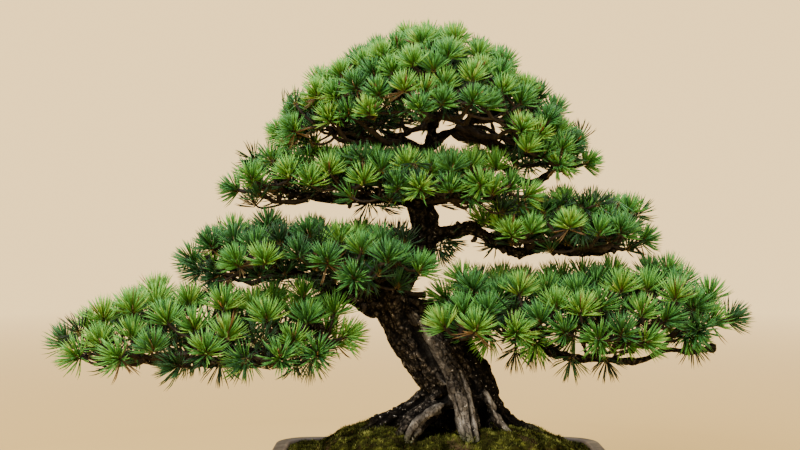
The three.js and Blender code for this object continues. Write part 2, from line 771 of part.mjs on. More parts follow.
function potBody() {
  const lipBase = POT.height - POT.lipHeight;
  const lip = POT.lip.map(([inset, down]) => roundedRing(
    POT.width - 2 * inset,
    POT.depth - 2 * inset,
    POT.corner + POT.lipOver - inset,
    POT.height - down,
    POT.cornerSteps,
  ));
  let pot = loft([
    potRing(POT.footHeight, 0),
    potRing((POT.footHeight + lipBase) / 2, 0),
    potRing(lipBase, 0),
    ...lip,
    wallRing(POT.height - POT.innerEdge, 0),
    wallRing(POT_FLOOR, 0),
  ]);
  const footX = POT.baseWidth / 2 - POT.footInset - POT.footWidth / 2;
  const footY = POT.baseDepth / 2 - POT.footInset - POT.footDepth / 2;
  for (const side of [-1, 1]) {
    for (const end of [-1, 1]) {
      const centre = [side * footX, end * footY];
      const foot = (grow, z) => roundedRing(
        POT.footWidth + 2 * grow, POT.footDepth + 2 * grow, POT.footCorner + grow, z, 2, centre);
      pot = pot.add(loft([foot(-POT.footTaper, 0), foot(0, POT.footHeight + 2)]));
    }
    const x = side * POT.holeOffset;
    const hole = [[x, 0, POT.footHeight - 1, POT.holeRadius], [x, 0, POT_FLOOR + 1, POT.holeRadius]];
    pot = pot.subtract(strand(hole, POT.holeSides));
  }
  return pot;
}

// A square of drainage mesh over each hole, and the room that it takes up in the soil.
function meshSquare(x, grow = 0) {
  const side = MESH_SQUARE.side + 2 * grow;
  const low = POT_FLOOR + GAP - grow;
  const high = POT_FLOOR + GAP + MESH_SQUARE.thickness + grow;
  let square = loft([low, high].map((z) => roundedRing(side, side, MESH_SQUARE.corner, z, 1, [x, 0])));
  if (grow > 0) {
    return square;
  }
  const { cells, bar } = MESH_SQUARE;
  const cell = (MESH_SQUARE.side - bar * (cells + 1)) / cells;
  for (let i = 0; i < cells; i += 1) {
    for (let j = 0; j < cells; j += 1) {
      const place = (k) => (k - (cells - 1) / 2) * (cell + bar);
      square = square.subtract(prism(cell, x + place(i), place(j), low - 1, high + 1));
    }
  }
  return square;
}

function prism(side, cx, cy, z0, z1) {
  const corners = [[-1, -1], [1, -1], [1, 1], [-1, 1]];
  const ring = (z) => corners.map(([u, v]) => V(cx + (u * side) / 2, cy + (v * side) / 2, z));
  return loft([ring(z0), ring(z1)]);
}

// Soil that fills the pot and rises to a mound, with holes for the roots and the drainage mesh.
function soilBody() {
  const lumps = seeded(SEED);
  const width = POT.width - 2 * (POT.lipOver + POT.wall);
  const depth = POT.depth - 2 * (POT.lipOver + POT.wall);
  const rings = [wallRing(POT_FLOOR + GAP, GAP), wallRing(SOIL.wallHeight, GAP)];
  for (const [share, rise] of SOIL.mound) {
    const z = THREE.MathUtils.lerp(SOIL.wallHeight, SOIL.crownHeight, rise);
    const corner = share * (POT.corner + (1 - share) * SOIL.rounding);
    const middle = [SOIL.crownX * (1 - share), 0];
    const ring = roundedRing(width * share, depth * share, corner, z, POT.cornerSteps, middle);
    rings.push(ring.map((point) => point.setZ(point.z + SOIL.lump * (2 * lumps() - 1))));
  }
  let soil = loft(rings);
  for (const side of [-1, 1]) {
    soil = soil.subtract(meshSquare(side * POT.holeOffset, GAP));
  }
  return soil.subtract(wasm.Manifold.union(rootStrands(GAP + 0.1)));
}

const rootStrands = (grow) => [
  strand(TRUNK, TRUNK_SIDES, { grow, rough: TRUNK_ROUGH }),
  ...BUTTRESSES.map((points) => strand(points, BUTTRESS_SIDES, { grow, rough: TRUNK_ROUGH })),
];

// The tree: wood first, then the tufts that find room, then their needles.
const plans = [];
for (const [pad, { limbs, domes, branchlets, needle }] of Object.entries(PADS)) {
  limbs.forEach((limb) => addStrand(limb));
  const tufts = evenly(padPoints(domes), TUFT_SPACING).map((tuft) => ({ ...tuft, needle }));
  groups(tufts, branchlets).forEach((set, i) => {
    const name = `needles_${pad}_${String(i + 1).padStart(2, '0')}`;
    plans.push(planBranchlet(name, set, limbs));
  });
}
[TRUNK, ...BUTTRESSES].forEach(addStrand);
plans.forEach((plan) => addStrand(plan.twig));
const settled = plans.map(settle);

const shapes = settled.map((plan) => ({ name: plan.name, body: branchletBody(plan) }));
const allLimbs = Object.values(PADS).flatMap(({ limbs }) => limbs);

const wood = wasm.Manifold.union([
  ...rootStrands(0),
  ...allLimbs.map((points) => strand(points, points[0][3] > THICK_LIMB ? LIMB_SIDES : BRANCH_SIDES)),
  ...plans.map((plan) => strand(plan.twig, 3)),
]);

const NEEDLE_GREEN = new THREE.MeshStandardMaterial({ color: 0x4f7a35, roughness: 0.55, metalness: 0 });
const BARK = new THREE.MeshStandardMaterial({ color: 0x4a3c32, roughness: 0.95, metalness: 0 });
const CLAY = new THREE.MeshStandardMaterial({ color: 0x5a514b, roughness: 0.8, metalness: 0 });
const EARTH = new THREE.MeshStandardMaterial({ color: 0x3f3a24, roughness: 1, metalness: 0 });
const PLASTIC = new THREE.MeshStandardMaterial({ color: 0x1d1d1d, roughness: 0.6, metalness: 0 });

const part = new THREE.Group();
part.add(meshOf('pot', potBody(), CLAY));
part.add(meshOf('drain_mesh_left', meshSquare(-POT.holeOffset), PLASTIC));
part.add(meshOf('drain_mesh_right', meshSquare(POT.holeOffset), PLASTIC));
part.add(meshOf('soil', soilBody(), EARTH));
part.add(meshOf('trunk_and_branches', wood, BARK));
shapes.forEach(({ name, body }) => part.add(meshOf(name, body, NEEDLE_GREEN)));

part.position.x = POT_OFFSET;
part.updateMatrixWorld(true);

export default part;
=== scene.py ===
"""A Japanese black pine bonsai in a clay pot: bark, needles, moss and glaze-free clay around its frame.

Lengths are in metres, and MM turns millimetres into them.
"""
import math

import bmesh
import bpy
import numpy as np
from mathutils import Matrix, Vector
from mathutils.bvhtree import BVHTree


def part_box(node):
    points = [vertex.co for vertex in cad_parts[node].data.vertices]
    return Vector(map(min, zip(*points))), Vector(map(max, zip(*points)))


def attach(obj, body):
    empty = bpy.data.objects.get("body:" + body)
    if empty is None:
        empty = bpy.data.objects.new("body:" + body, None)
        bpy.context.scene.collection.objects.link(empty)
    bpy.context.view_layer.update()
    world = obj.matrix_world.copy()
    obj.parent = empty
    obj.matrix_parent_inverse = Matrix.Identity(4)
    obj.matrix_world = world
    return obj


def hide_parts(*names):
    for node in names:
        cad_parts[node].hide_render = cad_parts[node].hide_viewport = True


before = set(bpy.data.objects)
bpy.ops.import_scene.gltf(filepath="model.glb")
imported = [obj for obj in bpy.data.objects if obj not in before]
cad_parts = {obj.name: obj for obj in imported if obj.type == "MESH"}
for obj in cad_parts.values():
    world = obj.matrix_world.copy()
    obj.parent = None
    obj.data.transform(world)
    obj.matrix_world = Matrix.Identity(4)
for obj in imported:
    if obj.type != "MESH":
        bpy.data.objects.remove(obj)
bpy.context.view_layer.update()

MM = 0.001
SEED = 5
rng = np.random.default_rng(SEED)
UP = np.array([0.0, 0.0, 1.0])

POT_LOW, POT_HIGH = (np.array(corner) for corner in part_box("pot"))
POT_MIDDLE = (POT_LOW + POT_HIGH) / 2 * (1, 1, 0)

# Pot, in millimetres. The lip's edge is a list of how far in from the lip's outside and down from its top.
LIP = (552, 380)
BASE = np.array([486, 318])
POT_HEIGHT = 95
POT_CORNER = 52
CORNER_STEPS = 14
LIP_OVER = 8
LIP_HEIGHT = 15
LIP_EDGE = ((5, 14.8), (2.2, 13.9), (0.7, 12.3), (0, 10), (0, 5), (0.3, 2.7), (1, 1.2), (2.3, 0.3), (4.5, 0),
            (17, 0), (19.4, 0.3), (21, 1.2), (22.2, 2.8))
WALL = 14
POT_FLOOR = 24
FOOT = np.array([92, 40])
FOOT_HEIGHT = 11
FOOT_CORNER = 12
FOOT_INSET = 12
HOLE = 17
HOLE_OFFSET = 120
# How far up and in the base's rounded edge lies, and how far up and out each foot's.
BASE_EDGE = ((0, 3), (0.8, 1), (2.4, 0.1))
FOOT_EDGE = ((0, -6), (0.7, -4.4), (2.5, -3.6), (FOOT_HEIGHT + 2, 0))
SHARP_ANGLE = 40

# Camera, as the photograph was taken: level, with its place given from the middle of the pot's foot.
SENSOR = 36
FRAME_WIDTH = 800
FOCAL_PIXELS = 1250
CAMERA_PLACE = (-64 * MM, -2000 * MM, 465 * MM)

# Studio
PALE = (1.0, 0.68, 0.30)
OVERHEAD = (0.66, 0.66, 0.66)
GLOW = 2.15
FLOOR_RADIUS = 9.0
FLOOR_NEAR = 1.0
FLOOR_FADE = 5.0
FLOOR_COLOUR = (0.52, 0.355, 0.125, 1)
FLOOR_SIDES = 96
SKY_RISE = (0.25, 0.8)
LAMP_AIM = (0, 0, 0.42)
# Each lamp's name, place, size and power.
LAMPS = (
    ("key", (-1.5, -2.0, 2.6), 1.4, 135),
    ("fill", (2.2, -1.7, 1.4), 1.8, 22),
    ("top", (0.2, 0.6, 2.8), 1.8, 60),
)

# Foliage
PADS = ("left_lower", "left_middle", "left_upper", "crown", "right_upper", "right_lower")
TONE_OF_PAD = dict(zip(PADS, (0.66, 0.50, 0.65, 0.68, 0.63, 0.60)))
TONE_SPREAD = 0.12
TONE_CAP = 0.76
# Painted light on the top of each pad and painted shade at its back, as shifts of its tufts' tone.
TOP_LIGHT = 0.14
BACK_SHADE = 0.14
LEAST_NEEDLE = 20 * MM
TUFT_REACH = 6 * MM
BUD_REACH = 9 * MM
NEEDLE_OF_PAD = dict(zip(PADS, (44.5, 40.5, 37.5, 33.5, 35.5, 42.5)))
NEEDLE_RADIUS = 1.03 * MM
NEEDLE_BEND_AT = 0.68
RADIUS_SPREAD = (0.88, 1.08)
# A tuft's needles: tilt in degrees, length, tone, and the stretch of shoot that they spring from.
LEAST_TILT = 5
TILT_RANGE = 65
TILT_POWER = 0.72
TILT_STRAY = 3
PAIR_ANGLE = (1.5, 5.5)
LENGTHS = (0.86, 1.03)
CENTRE_SHORTER = 0.14
TONE_STRAY = 0.08
SHOOT_TOP = 4
SHOOT_LENGTH = 11
RAISED = (0.5, 1.05)
CANDIDATES = 5000
LOWEST_SLOPE = -0.35
FILL_SPACING = 0.88
FILL_DEPTH = (-2, 16)
# What a tuft's direction is made of: outward, as its neighbours, upward and a random part.
FILL_AIM = (0.25, 0.6, 0.55, 0.24)
INNER_SPACING = 0.8
INNER_DEPTH = (26, 46)
HANG_SPACING = 17 * MM
HANG_SLOPE = -0.45
SHORT_SHOOT = 14 * MM
STEM = 16 * MM
BACKWARD_COST = 2.0
LEAFY = ("outer", "fill")
HANGING = {"left_lower": 3, "left_middle": 2, "right_lower": 2, "right_upper": 1}
STARS = {"left_lower": ((-384, 262), (-204, 250)),
         "right_lower": ((118, 264), (150, 268), (206, 250), (262, 250), (398, 276))}
STAR_DEPTH = -26
# Tufts placed one by one: the place in millimetres from the pot's middle, the way it faces and its kind.
STRAYS = {
    "right_upper": (
        ((4, -6, 434), (0.6, -0.3, -0.5), "inner"),
        ((14, -8, 440), (0.9, -0.3, -0.1), "inner"),
        ((-2, -10, 424), (0.5, -0.5, -0.6), "inner")),
    "right_lower": (
        ((34, -24, 376), (-0.5, -0.2, 0.8), "fill"),
        ((6, -18, 348), (-0.8, -0.2, 0.6), "fill"),
        ((246, -45, 288), (0.1, -0.7, -0.2), "fill"),
        ((288, -45, 284), (0, -0.8, -0.1), "fill"),
        ((392, -40, 290), (0.3, -0.6, -0.1), "fill"),
        ((72, -52, 290), (-0.6, -0.6, -0.3), "fill"),
        ((362, -10, 388), (0.1, -0.2, 1.0), "fill")),
    "crown": (
        ((-238, -10, 592), (-0.5, -0.3, 0.1), "fill"),),
    "left_middle": (
        ((-385, -15, 392), (-0.8, -0.3, 0.2), "fill"),
        ((-352, -20, 384), (-0.5, -0.4, -0.2), "fill")),
    "left_lower": (
        ((-216, -30, 352), (0.1, -0.2, 1.0), "fill"),),
}
OLD_SHARE = 0.16
CANDLE_SHARE = dict(zip(PADS, (0.10, 0.08, 0.18, 0.34, 0.20, 0.14)))
# Old needles and candles: their number, tilts, lengths, tones and height on the shoot.
OLD_NEEDLES = ((4, 9), (85, 125), (0.8, 1.0), (0.925, 0.945), -8)
CANDLES = ((4, 8), (4, 34), (0.28, 0.5), (0.95, 1.0), 5)
HANGING_SLIM = 0.92
# Where a pad stays open, and the shifts of its outline: a middle, a reach and a shift, in millimetres.
OPEN_PLACE = {"crown": ((-85, 112), (0, 640)), "left_middle": ((-230, -30), (455, 900))}
PULLS = (
    ((214, 620), 75, (-13, -5)),
    ((-248, 668), 38, (16, -20)),
    ((-190, 700), 60, (-6, 6)),
    ((-250, 596), 40, (-2, -9)),
    ((230, 540), 45, (-2, 9)),
    ((-400, 360), 90, (-2, 10)),
    ((-555, 296), 50, (-8, 5)),
    ((-512, 350), 28, (0, 8)),
    ((-138, 278), 48, (-6, 38)),
    ((-220, 355), 40, (0, 8)),
    ((475, 345), 50, (17, 13)),
    ((475, 300), 38, (5, 10)),
    ((400, 258), 60, (-4, 11)),
    ((-295, 492), 42, (2, 16)),
    ((-395, 410), 42, (-5, -10)),
    ((-395, 470), 30, (-3, 8)),
    ((325, 478), 32, (8, 7)),
    ((315, 508), 30, (-7, -8)),
    ((350, 430), 30, (-8, 2)),
    ((140, 528), 40, (0, -9)),
    ((100, 745), 40, (12, -8)),
    ((-80, 580), 40, (0, -16)),
    ((-60, 650), 40, (0, -13)),
    ((232, 612), 30, (6, -8)),
    ((70, 500), 50, (0, 8)),
    ((-14, 330), 40, (16, 2)),
    ((50, 380), 45, (-4, 10)),
)
PAIRS = {"outer": 41, "fill": 38, "inner": 17, "hanging": 17}
# Painted shade: inner and hanging tufts are much darker, inside and under the pads; fill tufts a little
# darker.
TONE_SHIFT = {"outer": 0.0, "fill": -0.04, "inner": -0.42, "hanging": -0.42}
TWIG_THICKNESS = {"outer": 2.6, "fill": 2.3, "inner": 2.0, "hanging": 1.7}

# Wood
BARK_VOXEL = 1.9 * MM
BARK_FACES = 190_000
FLUTE = ((-36, -22, 308), (-2, -34, 254), (26, -48, 202), (38, -64, 160), (45, -82, 130), (50, -92, 100))
FLUTE_REACH = 25 * MM
PALE_ROOT = ((73, 202), (86, 176), (98, 156), (115, 133))
PALE_ROOT_REACH = 7 * MM
# Painted shade on the trunk's right side, along this route and within its reach, and in a band along the
# first groove.
DARK_SIDE = ((56, 268), (70, 236), (84, 200), (100, 168), (136, 142))
DARK_REACH = 34 * MM
BAND_REACH = 13 * MM
# Strands of old wood that are added to the frame's, as x, y, z and radius in millimetres.
OLD_WOOD = (
    ((24, -46, 190, 9), (2, -62, 185, 8), (-20, -74, 175, 8), (-40, -84, 160, 8), (-51, -90, 140, 7.5),
     (-56, -92, 108, 7)),
    ((-66, -14, 166, 11), (-84, -16, 158, 10), (-98, -18, 155, 12), (-108, -20, 149, 11.5)),
    ((50, -88, 112, 12), (52, -100, 98, 11), (54, -108, 84, 9)),
    ((112, 4, 148, 10), (126, 0, 144, 11), (138, -3, 139, 10), (147, -5, 131, 9)),
)
STRAND_SIDES = 12
SMOOTH_ROOT = OLD_WOOD[0]
LEFT_BLOCK = OLD_WOOD[1]
BLOCK_REACH = (18 * MM, 12 * MM)
SMOOTH_REACH = 13 * MM
SMOOTH_KEPT = (7 * MM, 13 * MM)
FISSURE_TILT = -22
# Grooves as a route of x and z on the front, a width and a depth, and pits as a middle, a reach and a depth.
GROOVES = (
    (((-52, 326), (-27, 277), (-16, 254), (-5, 230), (0, 207), (5, 191), (14, 165), (21, 146)), 9, 14),
    (((36, 250), (49, 233), (62, 194), (68, 164), (68, 142)), 7, 12),
    (((4, 203), (-30, 190), (-58, 172), (-76, 150)), 5, 7),
    (((-20, 166), (-40, 152), (-52, 132)), 2.6, 4),
    (((31, 235), (43, 196), (47, 160), (53, 132)), 3, 7),
    (((20, 204), (30, 166), (36, 135)), 2.4, 4),
    (((84, 180), (112, 150), (140, 134)), 4, 5),
)
PITS = (((-2, 152), (30, 25), 34), ((72, 160), (9, 26), 20))
WOOD_PULLS = (((-25, 345), 28, (-13, 0)), ((118, 158), 20, (0, -4)))
FLUTE_EDGE = (-5 * MM, 4 * MM)
BOUGHS = dict(zip(PADS, (11, 10, 8, 24, 7, 9)))
BOUGH_BELOW = 0.5
# Radii at the foot and the tip, and how far each winds from side to side, in millimetres.
BOUGH_FOOT = (3.4, 5.6)
BOUGH_TIP = 2.2
BOUGH_SWAY = 5.5
BRANCHLET_RADII = (5.2, 2.9)
BRANCHLET_SWAY = 2.2
TWIG_TAPER = 0.3
TWIG_SWAY = 1.2
LIMB_HEIGHT = 330 * MM
TRUNK_LINE = ((205, 27), (250, -8), (295, -44), (330, -66), (395, -60), (428, -32), (495, -31), (592, -20))
LIMB_SWAY = 7 * MM
CROWN_HEIGHT = 560 * MM
CROWN_SLIM = 2.6 * MM
RELAX_SHARES = (0.55, -0.57)
# The noise of the plates, of the seams on them and of the splits in worn wood: size, length, seed, steps.
PLATES = (7.5 * MM, 32 * MM, 11, 7)
SEAMS = (4.5 * MM, 14 * MM, 23, 7)
SPLITS = (5 * MM, 60 * MM, 29, 11)
PLATE_GAP = 0.36
SEAM_GAP = 0.30
SPLIT_GAP = 0.24
# The two noises of the bark's surface, as size and seed, and how far each form moves it, in millimetres.
RUGGED = (10 * MM, 31)
FINE = (4.5 * MM, 37)
RUGGED_LIFT = 2.2
FINE_LIFT = 1.0
PLATE_DEPTH = 4.4
SEAM_DEPTH = 2.0
FULL_GIRTH = (5 * MM, 26 * MM)
HOLLOW_ROUNDS = 30
SPURS = 70

# Moss
MOSS_CELL = 2.4 * MM
MOSS_LIFT = 0.5 * MM
SPRIGS = 24_000
CUSHION = 7.0
CUSHION_SIZE = 24 * MM
TUSSOCK = 2.8
TUSSOCK_SIZE = 9 * MM
MOSS_LEVEL = 86
MOUND_MIDDLE = 10
MOUND_REACH = (215, 140)
MOUND_RISE = 64
MOUND_EDGE = 0.25
ROOT_NEAR = (20 * MM, 45 * MM)
ROOF = 70 * MM
CREEP = 3.0
CLIMBERS = 12_000
CLIMB = 9
MOSS_TOP = 165 * MM
CREEP_REACH = 9 * MM
UNDER_SHARE = (0.90, 0.86, 1.0)
MOSS_BED = 4 * MM
SPRIG_RADIUS = 0.75 * MM
# The four cells beside a cell, as a step and the axis that it goes along.
BESIDE = ((1, 0), (-1, 0), (1, 1), (-1, 1))


def unit(v):
    return v / np.maximum(np.linalg.norm(v, axis=-1, keepdims=True), 1e-12)


def smooth_step(low, high, x):
    t = np.clip((x - low) / (high - low), 0, 1)
    return t * t * (3 - 2 * t)


# Noise on arrays of points

def hashed(cells, seed):
    """A number from 0 to 1 for each whole-numbered cell, the same on every run."""
    x, y, z = (cells[..., k].astype(np.int64) for k in range(3))
    h = ((x * 73856093) ^ (y * 19349663) ^ (z * 83492791) ^ (seed * 2654435761)) & 0xFFFFFFFF
    for _ in range(2):
        h = ((h ^ (h >> 16)) * 0x45D9F3B) & 0xFFFFFFFF
    return (h ^ (h >> 16)) / 2.0 ** 32


def value_noise(points, size, seed):
    """Smooth noise from -1 to 1, with lumps of about the given size."""
    q = points / size
    base = np.floor(q)
    f = q - base
    f = f * f * (3 - 2 * f)
    total = np.zeros(len(points))
    for corner in np.ndindex(2, 2, 2):
        weight = np.prod(np.where(np.array(corner, bool), f, 1 - f), axis=-1)
        total += weight * hashed(base + corner, seed)
    return 2 * total - 1


def scattered(points, size, seed):
    """How far the nearest of scattered points lies from each point, in sizes."""
    q = points / size
    base = np.floor(q)
    nearest = np.full(len(points), 9.0)
    for shift in np.ndindex(3, 3, 3):
        cell = base + np.array(shift) - 1
        spot = cell + np.stack([hashed(cell, seed + k) for k in range(3)], axis=-1)
        nearest = np.minimum(nearest, np.linalg.norm(spot - q, axis=-1))
    return nearest


# Meshes

def new_object(name, data):
    made = bpy.data.objects.new(name, data)
    bpy.context.scene.collection.objects.link(made)
    return made


def mesh_object(name, points, faces, materials):
    """A new object with its place in its mesh. faces is an array with one row of corners for each face."""
    mesh = bpy.data.meshes.new(name)
    faces = np.asarray(faces, np.int32)
    size = faces.shape[1]
    mesh.vertices.add(len(points))
    mesh.vertices.foreach_set("co", np.asarray(points, np.float32).ravel())
    mesh.loops.add(faces.size)
    mesh.loops.foreach_set("vertex_index", faces.ravel())
    mesh.polygons.add(len(faces))
    mesh.polygons.foreach_set("loop_start", np.arange(len(faces), dtype=np.int32) * size)
    mesh.update(calc_edges=True)
    mesh.validate()
    for material in materials:
        mesh.materials.append(material)
    mesh.shade_smooth()
    return new_object(name, mesh)


def give_map(made, tone, along):
    """A map whose first coordinate is a tone and whose second is how far along its needle a corner lies."""
    corners = np.empty(len(made.data.loops), np.int32)
    made.data.loops.foreach_get("vertex_index", corners)
    layer = made.data.uv_layers.new(name="OFBake")
    layer.uv.foreach_set("vector", np.stack([tone, along], axis=-1)[corners].astype(np.float32).ravel())


def give_numbers(made, name, numbers):
    layer = made.data.attributes.new(name, "FLOAT", "POINT")
    layer.data.foreach_set("value", np.asarray(numbers, np.float32))


def places(mesh):
    found = np.empty(len(mesh.vertices) * 3, np.float32)
    mesh.vertices.foreach_get("co", found)
    return found.reshape(-1, 3).astype(float)


def write_places(mesh, points):
    mesh.vertices.foreach_set("co", points.astype(np.float32).ravel())
    mesh.update()


def edges_of(mesh):
    found = np.empty(len(mesh.edges) * 2, np.int32)
    mesh.edges.foreach_get("vertices", found)
    return found.reshape(-1, 2)


def corners_of(mesh):
    mesh.calc_loop_triangles()
    found = np.empty(len(mesh.loop_triangles) * 3, np.int32)
    mesh.loop_triangles.foreach_get("vertices", found)
    return found.reshape(-1, 3)


def normals_of(mesh):
    found = np.empty(len(mesh.vertices) * 3, np.float32)
    mesh.vertex_normals.foreach_get("vector", found)
    return found.reshape(-1, 3).astype(float)


def welded(node):
    """A node's corners with doubles merged, and its triangles."""
    points, index = np.unique(np.round(places(node.data), 6), axis=0, return_inverse=True)
    return points, index.reshape(-1)[corners_of(node.data)]


def across_of(corners):
    """A vector across each triangle, as long as twice its area."""
    return np.cross(corners[:, 1] - corners[:, 0], corners[:, 2] - corners[:, 0])


def crosswise(aim):
    """Two directions across each aim, turned at random."""
    side = unit(np.cross(aim, unit(rng.normal(0, 1, aim.shape))))
    return side, np.cross(aim, side)


def tree_of(points, triangles):
    return BVHTree.FromPolygons([tuple(p) for p in points], [tuple(int(i) for i in t) for t in triangles])


# Materials

def new_material(name, roughness, specular=0.5):
    """A material whose base colour is still to be wired up, with its node tree and its shader."""
    made = bpy.data.materials.new(name)
    made.use_nodes = True
    shader = made.node_tree.nodes["Principled BSDF"]
    shader.inputs["Roughness"].default_value = roughness
    shader.inputs["Specular IOR Level"].default_value = specular
    return made, made.node_tree, shader


def plug(tree, socket, value):
    """Gives a socket a value, or links another socket to it."""
    if isinstance(value, bpy.types.NodeSocket):
        tree.links.new(value, socket)
    else:
        socket.default_value = value


def node(tree, kind, settings=None, **inputs):
    """A node with its settings and its inputs, which are values or sockets.

    An input goes by its name, with underscores for spaces, or by its number, as i0, i1 and so on.
    """
    made = tree.nodes.new(kind)
    for key, value in (settings or {}).items():
        setattr(made, key, value)
    for key, value in inputs.items():
        by_number = key[0] == "i" and key[1:].isdigit()
        plug(tree, made.inputs[int(key[1:]) if by_number else key.replace("_", " ")], value)
    return made


def ramp(tree, factor, stops):
    """Colours along a factor. stops is a list of (place, colour)."""
    made = node(tree, "ShaderNodeValToRGB", Fac=factor)
    while len(made.color_ramp.elements) < len(stops):
        made.color_ramp.elements.new(1)
    for element, (place, colour) in zip(made.color_ramp.elements, stops):
        element.position = place
        element.color = (*colour, 1)
    return made.outputs["Color"]


def grey_ramp(tree, factor, stops):
    return ramp(tree, factor, [(place, (grey, grey, grey)) for place, grey in stops])


def blended(tree, factor, low, high, kind="MIX"):
    """Mixes two colours, which are values or sockets."""
    made = tree.nodes.new("ShaderNodeMix")
    made.data_type = "RGBA"
    made.blend_type = kind
    for socket, value in zip((made.inputs[0], made.inputs[6], made.inputs[7]), (factor, low, high)):
        plug(tree, socket, (*value, 1) if isinstance(value, tuple) else value)
    return made.outputs[2]


def multiplied(tree, one, other):
    return blended(tree, 1.0, one, other, "MULTIPLY")


def attribute(tree, name):
    return node(tree, "ShaderNodeAttribute", {"attribute_name": name}).outputs["Fac"]


def mapped(tree, value, low, high):
    """A value as 0 at low and 1 at high."""
    return node(tree, "ShaderNodeMapRange", Value=value, From_Min=low, From_Max=high).outputs["Result"]


def tone_and_along(tree):
    """The two coordinates that give_map wrote."""
    spot = node(tree, "ShaderNodeUVMap", {"uv_map": "OFBake"})
    parts = node(tree, "ShaderNodeSeparateXYZ", Vector=spot.outputs["UV"])
    return parts.outputs["X"], parts.outputs["Y"]


def object_place(tree):
    return tree.nodes.new("ShaderNodeTexCoord").outputs["Object"]


def noise(tree, size, detail=3.0, rough=0.55, place=None):
    """Noise with lumps of about the given size."""
    place = place or object_place(tree)
    made = node(tree, "ShaderNodeTexNoise", Vector=place, Scale=1 / size, Detail=detail, Roughness=rough)
    return made.outputs["Fac"]


def bumps(tree, shader, height, distance, strength=1.0):
    made = node(tree, "ShaderNodeBump", Height=height, Distance=distance, Strength=strength)
    tree.links.new(made.outputs["Normal"], shader.inputs["Normal"])


def grained_material(name, roughness, specular, grain, stops, relief, depth, strength):
    """Colours over one noise and bumps from another. grain and relief are what noise takes."""
    made, tree, shader = new_material(name, roughness, specular)
    tree.links.new(ramp(tree, noise(tree, *grain), stops), shader.inputs["Base Color"])
    bumps(tree, shader, noise(tree, *relief), depth, strength)
    return made


def needle_material():
    made, tree, shader = new_material("pine_needle", 0.5, 0.3)
    shade, along = tone_and_along(tree)
    tone = ramp(tree, shade, [
        (0.00, (0.004, 0.012, 0.005)),
        (0.20, (0.010, 0.043, 0.016)),
        (0.38, (0.025, 0.102, 0.034)),
        (0.54, (0.048, 0.200, 0.048)),
        (0.70, (0.100, 0.330, 0.056)),
        (0.84, (0.210, 0.460, 0.070)),
        (0.90, (0.320, 0.520, 0.090)),
        (0.93, (0.095, 0.062, 0.026)),
        (1.00, (0.300, 0.150, 0.045)),
    ])
    foot = grey_ramp(tree, along, [(0.02, 1.0), (0.16, 0.0)])
    sheathed = blended(tree, foot, tone, (0.210, 0.150, 0.050))
    tip = grey_ramp(tree, along, [(0.90, 0.0), (1.0, 0.4)])
    tree.links.new(blended(tree, tip, sheathed, (0.300, 0.300, 0.090)), shader.inputs["Base Color"])
    return made


def moss_sprig_material():
    made, tree, shader = new_material("moss_sprig", 1.0, 0.0)
    light, along = tone_and_along(tree)
    tone = ramp(tree, light, [
        (0.0, (0.003, 0.003, 0.001)),
        (0.3, (0.013, 0.014, 0.003)),
        (0.55, (0.056, 0.066, 0.015)),
        (0.75, (0.160, 0.185, 0.040)),
        (0.95, (0.400, 0.430, 0.100)),
        (1.0, (0.100, 0.058, 0.024)),
    ])
    # Painted shade: each sprig darker towards its foot.
    shade = grey_ramp(tree, along, [(0.0, 0.25), (1.0, 1.0)])
    tree.links.new(multiplied(tree, tone, shade), shader.inputs["Base Color"])
    return made


